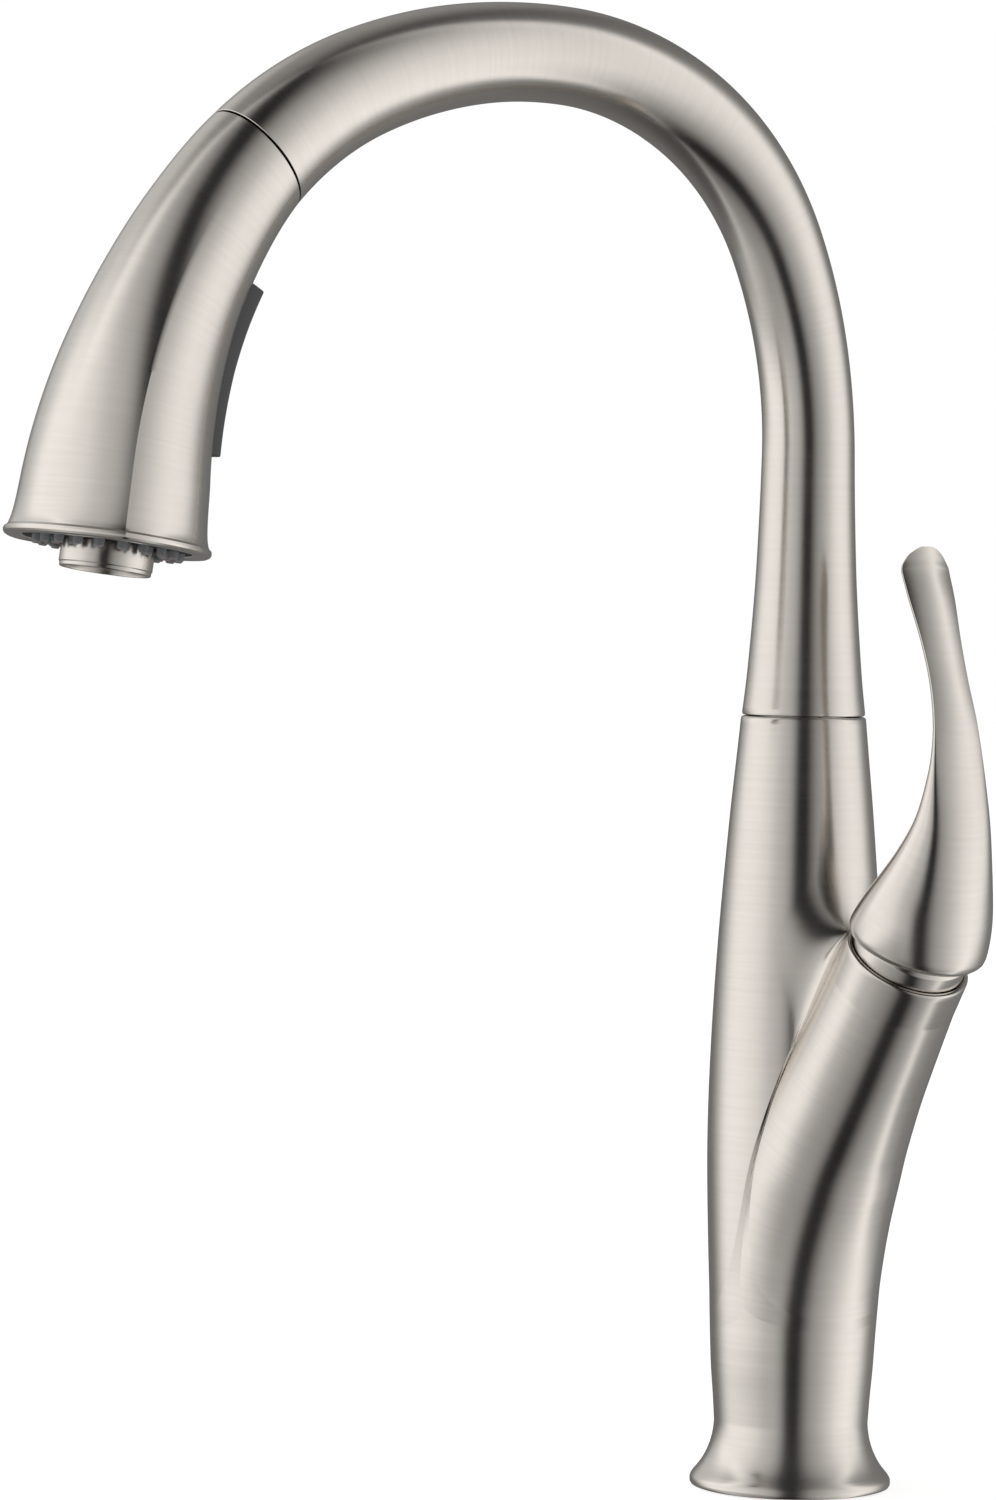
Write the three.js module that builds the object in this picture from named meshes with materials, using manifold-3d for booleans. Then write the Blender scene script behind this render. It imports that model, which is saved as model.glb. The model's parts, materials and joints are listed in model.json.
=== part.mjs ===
// Single-handle kitchen faucet with a pull-down spray head.
// Millimetres, +Z up, origin on the counter at the centre of the deck hole.
// The handle is on the +X side and the spout reaches towards -Y.

import * as THREE from 'three';
import { mergeVertices } from 'three/addons/utils/BufferGeometryUtils.js';
import Module from 'manifold-3d';

const wasm = await Module();
wasm.setup();

// ---------------------------------------------------------------- driving dimensions

const GAP = 0.3;                 // clearance between touching pieces
const FINE = 30;                 // facets round the large turned shapes
const COARSE = 16;               // facets round the small turned shapes

const SEAM_Z = 219.3;            // top of the body, where the spout turns
const BASE_RADIUS = 28.6;

const RING = { x: 51.1, z: 153.9, radius: 17.9 };   // rim of the handle barrel
const BARREL_TILT = THREE.MathUtils.degToRad(33.1); // barrel axis from the vertical
const BARREL_LEAVES_Z = 40;      // height where the barrel starts to bend outwards
const BARREL_BEND_RADIUS = 119.5;

const BEND_START_Z = 293;        // the spout is straight and vertical up to here
const SPOUT_ARCS = [             // each arc turns the spout to an angle, at a radius
  [12, 151], [24, 141], [58, 80], [86, 89], [113, 144], [142, 104], [172, 158],
];
const HEAD_SEAM = 553.4;         // distances along the spout's centreline
const OUTLET = 667.3;
const SEAM_SKEW = THREE.MathUtils.degToRad(5.2);    // the seam leans back on its outer side
const TUBE_WALL = 1.7;
const SHELL_WALL = 2.0;

const BUTTON = { from: 585.8, to: 638.2, halfWidth: 6.8, proud: 3.3 };
const PIVOT_W = -1;              // lever pivot, below the barrel rim
const LEVER_TILT = THREE.MathUtils.degToRad(25.1);  // lever axis from the vertical, closed
const HOSE_RADIUS = 6;
const LOWER_END_Z = -62;         // bottom of the threaded shank

// ---------------------------------------------------------------- colours

const finish = {
  nickel: { color: 0xb9b2aa, metalness: 1, roughness: 0.32 },
  steel: { color: 0xc4c4c2, metalness: 1, roughness: 0.3 },
  brass: { color: 0xb08d4a, metalness: 1, roughness: 0.35 },
  copper: { color: 0xb87352, metalness: 1, roughness: 0.35 },
  plastic: { color: 0x2c2c2e, metalness: 0, roughness: 0.55 },
  button: { color: 0x4a4a4c, metalness: 0, roughness: 0.45 },
  white: { color: 0xe8e6e0, metalness: 0, roughness: 0.5 },
  rubber: { color: 0x1b1b1b, metalness: 0, roughness: 0.8 },
  silicone: { color: 0x8d9091, metalness: 0, roughness: 0.5 },
  ceramic: { color: 0xf1efe9, metalness: 0, roughness: 0.25 },
  hose: { color: 0x3a3a3d, metalness: 0, roughness: 0.7 },
};

// ---------------------------------------------------------------- solids and booleans

function toSolid(geometry) {
  const bare = geometry.clone();
  bare.deleteAttribute('normal');
  bare.deleteAttribute('uv');
  const merged = mergeVertices(bare, 1e-4);
  return new wasm.Manifold(new wasm.Mesh({
    numProp: 3,
    vertProperties: new Float32Array(merged.attributes.position.array),
    triVerts: new Uint32Array(merged.index.array),
  }));
}

function toGeometry(solid) {
  const mesh = solid.getMesh();
  const geometry = new THREE.BufferGeometry();
  geometry.setAttribute('position', new THREE.BufferAttribute(mesh.vertProperties, 3));
  geometry.setIndex(new THREE.BufferAttribute(mesh.triVerts, 1));
  return geometry;
}

function join(...geometries) {
  return toGeometry(geometries.map(toSolid).reduce((sum, next) => sum.add(next)));
}

function cut(geometry, ...tools) {
  return toGeometry(tools.map(toSolid).reduce((rest, tool) => rest.subtract(tool), toSolid(geometry)));
}

// A profile of [radius, height] points turned about +Z. It starts and ends on the
// axis, or it is a ring section, which is closed here on its first point.
function turned(profile, segments = COARSE) {
  const onAxis = profile[0][0] === 0 && profile[profile.length - 1][0] === 0;
  const closed = onAxis ? profile : [...profile, profile[0]];
  const geometry = new THREE.LatheGeometry(closed.map(([r, z]) => new THREE.Vector2(r, z)), segments);
  return geometry.rotateX(Math.PI / 2);
}

function rod(radius, from, to, segments = COARSE) {
  return turned([[0, from], [radius, from], [radius, to], [0, to]], segments);
}

function sleeve(inner, outer, from, to, segments = COARSE) {
  return turned([[inner, from], [outer, from], [outer, to], [inner, to]], segments);
}

function box(width, depth, height, x = 0, y = 0, z = 0) {
  return new THREE.BoxGeometry(width, depth, height).translate(x, y, z);
}

function seal(radius, thickness, z) {
  return new THREE.TorusGeometry(radius, thickness, 5, COARSE).translate(0, 0, z);
}

function tubeAlong(points, radius, steps) {
  const section = new THREE.Shape();
  section.absarc(0, 0, radius, 0, Math.PI * 2);
  return new THREE.ExtrudeGeometry(section, {
    steps,
    curveSegments: 4,
    extrudePath: new THREE.CatmullRomCurve3(points.map((p) => new THREE.Vector3(...p))),
  });
}

// Smooth curve through [position, value] stations, sampled at any position.
function through(stations) {
  return (at) => {
    let i = 1;
    while (i < stations.length - 1 && at > stations[i][0]) i += 1;
    const before = stations[Math.max(i - 2, 0)];
    const [from, to] = [stations[i - 1], stations[i]];
    const after = stations[Math.min(i + 1, stations.length - 1)];
    const t = THREE.MathUtils.clamp((at - from[0]) / (to[0] - from[0]), 0, 1);
    const slopeFrom = (to[1] - before[1]) / (to[0] - before[0]) * (to[0] - from[0]);
    const slopeTo = (after[1] - from[1]) / (after[0] - from[0]) * (to[0] - from[0]);
    const t2 = t * t;
    const t3 = t2 * t;
    return (2 * t3 - 3 * t2 + 1) * from[1] + (t3 - 2 * t2 + t) * slopeFrom
      + (3 * t2 - 2 * t3) * to[1] + (t3 - t2) * slopeTo;
  };
}

function range(from, to, count) {
  return Array.from({ length: count + 1 }, (_, i) => from + (to - from) * i / count);
}

// ---------------------------------------------------------------- bent centrelines

// A centreline in a vertical plane: vertical up to startZ, then a chain of arcs, then
// straight on. It returns reach, height and angle from the vertical at a distance.
function centreline(startZ, arcs) {
  return (distance) => {
    let angle = 0;
    let reach = 0;
    let height = Math.min(distance, startZ);
    let left = Math.max(distance - startZ, 0);
    for (const [toDegrees, radius] of arcs) {
      const turn = Math.min(left / radius, THREE.MathUtils.degToRad(toDegrees) - angle);
      reach += radius * (Math.cos(angle) - Math.cos(angle + turn));
      height += radius * (Math.sin(angle + turn) - Math.sin(angle));
      angle += turn;
      left -= turn * radius;
    }
    return {
      reach: reach + left * Math.sin(angle),
      height: height + left * Math.cos(angle),
      angle,
    };
  };
}

// Moves a shape modelled round +Z so that +Z follows the centreline and +X stays on the
// inner side of the bend.
function bend(geometry, line) {
  const position = geometry.attributes.position;
  for (let i = 0; i < position.count; i += 1) {
    const [x, y, z] = [position.getX(i), position.getY(i), position.getZ(i)];
    const at = line(z);
    position.setXYZ(i, at.reach + x * Math.cos(at.angle), y, at.height - x * Math.sin(at.angle));
  }
  return geometry;
}

const spoutLine = centreline(BEND_START_Z, SPOUT_ARCS);
const barrelArc = [THREE.MathUtils.radToDeg(BARREL_TILT), BARREL_BEND_RADIUS];
const barrelLine = centreline(BARREL_LEAVES_Z, [barrelArc]);
const towardsFront = -Math.PI / 2;

function onSpout(geometry) {
  return bend(geometry, spoutLine).rotateZ(towardsFront);
}

// Leans the ends that meet at the head's seam, less and less away from it.
function skewAtSeam(geometry) {
  const reach = 20;
  const position = geometry.attributes.position;
  for (let i = 0; i < position.count; i += 1) {
    const z = position.getZ(i);
    const share = Math.max(1 - Math.abs(z - HEAD_SEAM) / reach, 0);
    position.setZ(i, z + position.getX(i) * Math.tan(SEAM_SKEW) * share);
  }
  return geometry;
}

// A straight frame on the spout's centreline: local +Z runs along the water's way.
function spoutFrame(distance, skew = 0) {
  const at = spoutLine(distance);
  const frame = new THREE.Group();
  frame.position.set(0, -at.reach, at.height);
  frame.rotation.set(0, at.angle - skew, towardsFront, 'ZYX');
  return frame;
}

// ---------------------------------------------------------------- scene helpers

const faucet = new THREE.Group();
faucet.name = 'pull_down_kitchen_faucet';

const barrel = new THREE.Group();
barrel.position.set(RING.x, 0, RING.z);
barrel.rotation.y = BARREL_TILT;
faucet.add(barrel);

const pivot = new THREE.Vector3(0, 0, PIVOT_W)
  .applyAxisAngle(new THREE.Vector3(0, 1, 0), BARREL_TILT).add(barrel.position);
const lever = new THREE.Group();
lever.position.copy(pivot);
lever.rotation.y = LEVER_TILT;
faucet.add(lever);

const dock = spoutFrame(HEAD_SEAM, SEAM_SKEW);
const rockerFrame = spoutFrame((BUTTON.from + BUTTON.to) / 2);
const outlet = spoutFrame(OUTLET);
faucet.add(dock, rockerFrame, outlet);

function place(name, geometry, look, parent = faucet) {
  const mesh = new THREE.Mesh(geometry, new THREE.MeshStandardMaterial(finish[look]));
  mesh.name = name;
  parent.add(mesh);
}

// ---------------------------------------------------------------- body casting

const trunkRadius = through([
  [18, 21.9], [35, 22.9], [70, 24.5], [98, 25.2], [125, 24.7], [155, 23.2], [189, 20.6], [211, 18.5],
  [SEAM_Z, 17.7],
]);
const barrelRadius = through([
  [14, 21.4], [30, 22.4], [54, 23.5], [70, 23.6], [94, 22.8], [109, 21.3], [126, 19.6], [142, 18.6],
  [155.5, 17.9],
]);

function trunk() {
  const side = range(18, SEAM_Z - 0.5, 10).map((z) => [trunkRadius(z), z]);
  return turned([
    [0, 0], [BASE_RADIUS - 0.6, 0], [BASE_RADIUS, 0.7], [BASE_RADIUS, 2.6], [27.4, 4.2], [24.6, 8],
    [22.6, 12.5], ...side, [trunkRadius(SEAM_Z) - 0.4, SEAM_Z], [0, SEAM_Z],
  ], FINE);
}

function barrelTube() {
  const bendLength = BARREL_BEND_RADIUS * BARREL_TILT;
  const bent = barrelLine(BARREL_LEAVES_Z + bendLength);
  const rimDistance = BARREL_LEAVES_Z + bendLength + (RING.z - bent.height) / Math.cos(BARREL_TILT);
  const side = range(20, rimDistance - 0.6, 9).map((d) => [barrelRadius(d), d]);
  const tube = turned([[0, 20], ...side, [RING.radius - 0.4, rimDistance], [0, rimDistance]], FINE);
  return bend(tube, barrelLine);
}

// Moves a shape that was modelled in one of the groups' frames into the faucet's frame.
function outOf(group, geometry) {
  group.updateMatrix();
  return geometry.applyMatrix4(group.matrix);
}

const SCREW_Z = 206;

place('faucet_body', cut(
  join(trunk(), barrelTube()),
  turned([
    [0, -1], [16.3, -1], [16.3, 12.3], [17, 12.3], [17, 95], [14, 110], [14, 160], [11.5, 168],
    [11.5, 184], [13.5, 184], [13.5, SEAM_Z + 1], [0, SEAM_Z + 1],
  ]),
  outOf(barrel, turned([
    [0, -80], [12, -80], [12, -36], [14.8, -36], [14.8, -2], [17.1, -2], [17.1, 1], [0, 1],
  ])),
  sleeve(20.5, 24.5, -1, 2),
  sleeve(13.8, 15.8, SEAM_Z - 1.5, SEAM_Z + 1),
  rod(2.3, 0, 30, 12).rotateX(-Math.PI / 2).translate(0, 0, SCREW_Z),
), 'nickel');

// ---------------------------------------------------------------- deck mounting

place('base_gasket', sleeve(20.8, 24.2, 0, 1.7), 'rubber');
place('mounting_shank', sleeve(13.5, 16, LOWER_END_Z, 12), 'brass');
place('deck_seal_washer', sleeve(16.4, 27, -33, -30), 'rubber');
place('deck_steel_washer', sleeve(16.4, 26, -35, -33 - GAP), 'steel');

const nutWings = [45, 135].map((turn) => box(56, 9, 9, 0, 0, -44.6)
  .rotateZ(THREE.MathUtils.degToRad(turn)));
const jackScrewSides = [1, -1];
const JACK_X = 20.9;
place('mounting_nut', cut(
  join(rod(24.5, -48, -36), ...nutWings),
  rod(16.3, -60, -30),
  ...jackScrewSides.map((side) => rod(2.8, -60, -30, 12).translate(side * JACK_X, 0, 0)),
), 'brass');
jackScrewSides.forEach((side, i) => {
  const screw = join(rod(2.4, -54, -35 - GAP, 12), rod(4.2, -57, -53, 6));
  place(`jack_screw_${i + 1}`, screw.translate(side * JACK_X, 0, 0), 'steel');
});

// ---------------------------------------------------------------- water tubes inside the body

const TUBE_RADIUS = 2.8;
const sideTube = (side) => [
  [31.4, side * 7, 123.6], [24.9, side * 7.2, 113.7], [14, side * 7.5, 97], [7.6, side * 7.6, 80],
  [6.3, side * 7.6, 55], [6.3, side * 7.6, -60],
];
place('hot_inlet_tube', tubeAlong(sideTube(1), TUBE_RADIUS, 18), 'copper');
place('cold_inlet_tube', tubeAlong(sideTube(-1), TUBE_RADIUS, 18), 'copper');
place('mixed_outlet_tube', tubeAlong([
  [37.9, 0, 119.2], [31.6, 0, 109.3], [22, 0, 96], [14, 0, 83], [9.9, 0, 64], [9.9, 0, -60],
], TUBE_RADIUS, 18), 'copper');

// ---------------------------------------------------------------- spout swivel

const SEAL_HEIGHTS = [228, 240];
const postGroove = (z) => [[11.2, z - 1], [9.9, z - 1], [9.9, z + 1], [11.2, z + 1]];
place('swivel_post', turned([
  [8.4, 184.3], [13.2, 184.3], [13.2, 190], [11.2, 190], ...SEAL_HEIGHTS.flatMap(postGroove),
  [11.2, 250], [8.4, 250],
]), 'brass');
SEAL_HEIGHTS.forEach((z, i) => place(`swivel_seal_${i + 1}`, seal(10.75, 0.7, z), 'rubber'));
place('thrust_bushing', sleeve(11.5, 13.2, 190.3, 195.7), 'white');
place('wear_ring', sleeve(14.1, 15.5, SEAM_Z - 1.2, SEAM_Z), 'white');
const retainingScrew = join(rod(2, 14, 18.4, 12), rod(1.2, 12.9, 14.5, 12));
place('spout_retaining_screw', retainingScrew.rotateX(-Math.PI / 2).translate(0, 0, SCREW_Z), 'steel');

// ---------------------------------------------------------------- handle cartridge

const PORTS = [[0, 7], [0, -7], [8, 0]];
const portHoles = (radius) => PORTS.map(([u, v]) => rod(radius, -60, 0, 12).translate(u, v, 0));
const drilled = (blank, radius) => cut(blank, ...portHoles(radius));

place('cartridge_base', drilled(rod(14.4, -35.5, -28), 2.4), 'white', barrel);
place('cartridge_fixed_disc', drilled(rod(12, -27.7, -24.7), 2.2), 'ceramic', barrel);
place('cartridge_housing', turned([
  [12.3, -27.7], [14.4, -27.7], [14.4, -6], [8.7, -6], [8.7, -8.6], [12.3, -8.6],
]), 'white', barrel);
place('cartridge_nut', turned([
  [9.6, -5.7], [14.4, -5.7], [14.4, 4.5], [10.6, 4.5], [9.6, 3.5],
]), 'brass', barrel);
place('bonnet_ring', turned([
  [14.7, -1.7], [15.9, -1.7], [15.9, 5.2], [13.9, 8.4], [10.6, 8.4], [10.6, 7.2], [13.2, 7.2],
  [14.7, 5],
]), 'nickel', barrel);

const STEM = 6.4;
const rotorSlot = box(15.6, STEM + 0.8, 40);
const pinHole = rod(1.8, -12, 12, 12).rotateX(Math.PI / 2).translate(0, 0, PIVOT_W);
place('cartridge_rotor', cut(
  turned([[0, -15.2], [11.9, -15.2], [11.9, -9], [8.3, -9], [8.3, 3], [0, 3]]),
  rotorSlot,
  pinHole,
), 'plastic', barrel);
const leverPin = rod(1.45, -7.4, 7.4, 12).rotateX(Math.PI / 2).translate(0, 0, PIVOT_W);
place('lever_pin', leverPin, 'steel', barrel);

// The disc and its carrier lie off the axis while the lever leans back, closed.
const DISC_SHIFT = 2.3;
const DISC_RADIUS = 7;
const shifted = (geometry) => geometry.translate(DISC_SHIFT, 0, 0);
const movingDisc = cut(rod(DISC_RADIUS, -24.4, -21.4), rod(2.4, -26, -20, 12));
const carrier = cut(rod(DISC_RADIUS, -21.1, -15.5), box(8.8, 8.2, 6, 0, 0, -16.4));
place('cartridge_moving_disc', shifted(movingDisc), 'ceramic', barrel);
place('disc_carrier', shifted(carrier), 'plastic', barrel);

// The stem turns on the pivot, so its heights and the handle's are measured from there.
const STEM_TOP = 30;
const STEM_FOOT = -17;
const stemBlank = box(STEM, STEM, STEM_TOP - STEM_FOOT, 0, 0, (STEM_TOP + STEM_FOOT) / 2);
const stemHole = rod(1.8, -12, 12, 12).rotateX(Math.PI / 2);
place('cartridge_stem', cut(stemBlank, stemHole), 'brass', lever);

// ---------------------------------------------------------------- handle

// Cross-sections of the handle from the skirt's lower edge to the lever's tip. Each has
// its centre in the plane of the handle, the lean of its plane from the horizontal, its
// half depth in that plane, its half width across it and how square it is.
const HANDLE_SECTIONS = [
  { x: 54.3, z: 158.0, lean: 25, deep: 18.6, wide: 18.6, square: 2 },
  { x: 55.8, z: 160.0, lean: 25, deep: 19.5, wide: 19.5, square: 2 },
  { x: 59.5, z: 166.5, lean: 24, deep: 17.4, wide: 19.0, square: 2 },
  { x: 63.4, z: 174.5, lean: 22, deep: 14.2, wide: 17.1, square: 2 },
  { x: 67.1, z: 183.5, lean: 18, deep: 10.8, wide: 14.5, square: 2.1 },
  { x: 70.0, z: 192.5, lean: 13, deep: 7.9, wide: 11.8, square: 2.2 },
  { x: 71.3, z: 201.5, lean: 7, deep: 5.9, wide: 9.8, square: 2.3 },
  { x: 71.7, z: 210.5, lean: 1, deep: 4.3, wide: 8.3, square: 2.4 },
  { x: 70.5, z: 220.5, lean: -8, deep: 3.2, wide: 7.1, square: 2.5 },
  { x: 67.3, z: 231.5, lean: -16, deep: 2.7, wide: 6.3, square: 2.6 },
  { x: 63.3, z: 242.5, lean: -20, deep: 2.5, wide: 6.6, square: 2.6 },
  { x: 59.1, z: 253.0, lean: -23, deep: 2.4, wide: 7.6, square: 2.6 },
  { x: 56.3, z: 259.5, lean: -24, deep: 2.3, wide: 7.9, square: 2.6 },
  { x: 55.3, z: 263.5, lean: -24, deep: 2.0, wide: 6.6, square: 2.4 },
  { x: 54.4, z: 266.9, lean: -24, deep: 1.4, wide: 3.4, square: 2.2 },
];

function loft(sections, segments) {
  const rows = sections.length;
  const blank = turned([
    [0, 0], ...sections.map((_, row) => [1, row]), [0, rows - 1],
  ], segments);
  const position = blank.attributes.position;
  for (let i = 0; i < position.count; i += 1) {
    const section = sections[Math.round(position.getZ(i))];
    const [x, y] = [position.getX(i), position.getY(i)];
    const lean = THREE.MathUtils.degToRad(section.lean);
    const size = Math.hypot(x, y);
    const power = section.square;
    const rounding = size < 0.5 ? 0
      : (Math.abs(x / size) ** power + Math.abs(y / size) ** power) ** (-1 / power);
    const deep = x / (size || 1) * rounding * section.deep;
    const wide = y / (size || 1) * rounding * section.wide;
    position.setXYZ(i, section.x + deep * Math.cos(lean), wide, section.z - deep * Math.sin(lean));
  }
  return blank;
}

const SET_SCREW_HEIGHT = 23.8;
const alongLever = (radius, from, to) => rod(radius, from, to, 12).rotateY(Math.PI / 2)
  .translate(0, 0, SET_SCREW_HEIGHT);
const skirtHollow = turned([
  [0, -10], [17.8, -10], [17.8, 10.8], [16, 13.8], [9, 16.8], [0, 16.8],
]).translate(1.2, 0, 0);
const stemSocket = box(STEM + 2 * GAP, STEM + 2 * GAP, 30, 0, 0, STEM_TOP + GAP - 15);
place('handle_lever', cut(
  loft(HANDLE_SECTIONS, 24),
  outOf(lever, skirtHollow),
  outOf(lever, stemSocket),
  outOf(lever, alongLever(2.3, -30, 0)),
), 'nickel');
place('handle_set_screw', alongLever(2, -9, -3.6), 'steel', lever);

// ---------------------------------------------------------------- spout tube

const tubeRadius = through([
  [SEAM_Z, 17.6], [228, 16.6], [237, 15.8], [249, 14.9], [262, 14.15], [285, 13.35], [310, 13.0],
  [350, 13.1], [400, 13.4], [460, 13.5], [490, 14.2], [520, 15.1], [HEAD_SEAM, 16.3],
]);

function spoutTube() {
  const outside = [SEAM_Z + 0.8, 228, 240, 258, 276, BEND_START_Z, ...range(306, HEAD_SEAM - GAP, 17)]
    .map((d) => [tubeRadius(d), d]);
  const inside = [...range(HEAD_SEAM - GAP, 306, 10), BEND_START_Z, 258]
    .map((d) => [tubeRadius(d) - TUBE_WALL, d]);
  return turned([
    [11.7, 196], [13.1, 196], [13.1, 204], [12.5, 204], [12.5, 208], [13.1, 208], [13.1, SEAM_Z + GAP],
    [17.2, SEAM_Z + GAP], ...outside, ...inside, [11.7, 251],
  ], 24);
}
place('spout_tube', onSpout(skewAtSeam(spoutTube())), 'nickel');

// ---------------------------------------------------------------- docking end of the spout

const bentSleeve = (inner, outer, from, to) => turned(
  [...range(from, to, 2).map((d) => [outer, d]), ...range(to, from, 2).map((d) => [inner, d])],
);
place('dock_magnet', onSpout(bentSleeve(10.2, 13, 527, 533.7)), 'steel');
place('dock_collar', onSpout(skewAtSeam(bentSleeve(10.2, 13, 534, 552.4))), 'plastic');

const HOSE_END = HEAD_SEAM - 24;

function hoseProfile() {
  const turns = range(BEND_START_Z, HOSE_END, 18).map((d) => [HOSE_RADIUS, d]);
  return [[0, LOWER_END_Z], [HOSE_RADIUS, LOWER_END_Z], [HOSE_RADIUS, 120], ...turns, [0, HOSE_END]];
}
place('spray_hose', onSpout(turned(hoseProfile(), 10)), 'hose');

place('hose_ferrule', sleeve(3, 7.2, -22, -14), 'steel', dock);
place('hose_nut', cut(rod(8.6, -13.7, -2, 6), rod(4, -20, 2)), 'brass', dock);
place('hose_nipple', turned([
  [3, -1.7], [6.4, -1.7], [6.4, 0.4], [5.5, 0.4], [5.5, 14], [3, 14],
]), 'brass', dock);
place('check_valve', turned([[0, 2], [2.6, 2], [2.6, 12], [0, 12]]), 'white', dock);

// ---------------------------------------------------------------- spray head

const headRadius = through([
  [HEAD_SEAM, 16.3], [569, 17.2], [582, 18.1], [595, 19.0], [608, 20.1], [621, 21.3], [634, 22.5],
  [648, 23.8], [658, 24.5], [663, 25.2], [666.5, 26.4], [OUTLET, 26.1],
]);
const creaseAmount = (d) => THREE.MathUtils.smoothstep(d, HEAD_SEAM + 6, 640);

// The head's section is round at the seam. Towards the outlet it becomes the overlap of
// two larger circles, which meet in a crease on each side.
function sectionScale(turn, amount) {
  const circle = (offset, radius) => offset * Math.cos(turn)
    + Math.sqrt(radius * radius - (offset * Math.sin(turn)) ** 2);
  return 1 + amount * (Math.min(circle(-0.12, 1.12), circle(0.22, 1.22)) - 1);
}

function creased(geometry) {
  const position = geometry.attributes.position;
  for (let i = 0; i < position.count; i += 1) {
    const [x, y, z] = [position.getX(i), position.getY(i), position.getZ(i)];
    const scale = sectionScale(Math.atan2(y, x), creaseAmount(z));
    position.setXYZ(i, x * scale, y * scale, z);
  }
  return geometry;
}

function headShell() {
  const stations = [HEAD_SEAM + GAP, 568, 582, 596, 610, 624, 638, 650, 659, 663, 666.5, OUTLET];
  const outside = stations.map((d) => [headRadius(d), d]);
  const inside = [OUTLET, 661, 642, 622, 602, 580, HEAD_SEAM + GAP]
    .map((d) => [Math.min(headRadius(d), 24.6) - SHELL_WALL, d]);
  return skewAtSeam(creased(turned([...outside, ...inside], 30)));
}

// A block that follows the inner side of the head, given its depths below the surface.
function blockOnHead(from, to, halfWidth, low, high) {
  const block = new THREE.BoxGeometry(high - low, 2 * halfWidth, to - from, 1, 1, 6);
  block.translate((high + low) / 2, 0, (from + to) / 2);
  const position = block.attributes.position;
  for (let i = 0; i < position.count; i += 1) {
    position.setX(i, position.getX(i) + headRadius(position.getZ(i)));
  }
  return block;
}

const BEZEL = { from: BUTTON.from - 2.6, to: BUTTON.to + 2.6, halfWidth: BUTTON.halfWidth + 2 };
place('head_shell', onSpout(cut(
  headShell(),
  blockOnHead(BEZEL.from - GAP, BEZEL.to + GAP, BEZEL.halfWidth + GAP, -7, 8),
)), 'nickel');
place('button_bezel', onSpout(cut(
  blockOnHead(BEZEL.from, BEZEL.to, BEZEL.halfWidth, -3.6, -0.4),
  blockOnHead(BUTTON.from - 1, BUTTON.to + 1, BUTTON.halfWidth + 0.4, -6, 2),
)), 'plastic');

const PIN_DEPTH = -2.5;
const middle = (BUTTON.from + BUTTON.to) / 2;
const pinAt = (geometry) => geometry.rotateX(Math.PI / 2)
  .translate(headRadius(middle) + PIN_DEPTH, 0, middle);
place('spray_button', onSpout(cut(
  blockOnHead(BUTTON.from, BUTTON.to, BUTTON.halfWidth, -4.6, BUTTON.proud),
  pinAt(rod(1.3, -12, 12, 12)),
)), 'button');
place('button_pin', onSpout(pinAt(rod(1, -6.4, 6.4, 12))), 'steel');

// The water's way lies off the centreline, away from the button.
function waterway(inner, outer, from, to) {
  const rows = range(from, to, 6);
  const outside = rows.map((d) => [outer, d]);
  const inside = rows.map((d) => [inner, d]).reverse();
  return turned([...outside, ...inside]).translate(-4, 0, 0);
}
place('head_connector', sleeve(5.9, 10.5, 1, 19), 'brass', dock);
place('head_waterway', onSpout(waterway(3.2, 5, 580, 648.5)), 'plastic');

place('diverter_housing', sleeve(3, 4.6, -11, 11).translate(7.2, 0, 0), 'plastic', rockerFrame);
place('diverter_spool', rod(2.6, -14, 14, 12).translate(7.2, 0, 0), 'brass', rockerFrame);

// ---------------------------------------------------------------- spray face

function faceDisc(from, to, margin, hole) {
  const rim = [from, to].map((d) => [Math.min(headRadius(d), 24.6) - SHELL_WALL - margin, d]);
  return onSpout(cut(creased(turned([[0, from], ...rim, [0, to]], 30)), rod(hole, from - 2, to + 2)));
}
place('spray_diffuser', faceDisc(649.5, 655.6, 0.6, 10.9), 'plastic');
place('nozzle_plate', faceDisc(656, 659.2, GAP, 13), 'plastic');

const NUB_RINGS = [[15.6, 14], [19, 20]];
const nubs = NUB_RINGS.flatMap(([radius, count]) => range(0, Math.PI * 2 * (1 - 1 / count), count - 1)
  .map((turn) => turned([[0, -6.6], [1.3, -6.6], [1, -2.6], [0, -2.6]], 5)
    .translate(radius * Math.cos(turn), radius * Math.sin(turn), 0)));
place('nozzle_mat', join(sleeve(13.6, 20.6, -7.4, -6.2, 20), ...nubs), 'silicone', outlet);

place('aerator_housing', turned([
  [10.4, -11.1], [12.4, -11.1], [12.4, 6.2], [12, 6.6], [10.8, 6.6], [10.8, 4.6], [10.4, 4.2],
]), 'steel', outlet);
place('aerator_screen', rod(10.1, 1, 3.4), 'steel', outlet);
place('flow_regulator', rod(10.1, -10, 1 - GAP), 'white', outlet);

export default faucet;
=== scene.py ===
"""Looks for a brushed-nickel pull-down kitchen faucet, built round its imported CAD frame."""

import math

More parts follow.
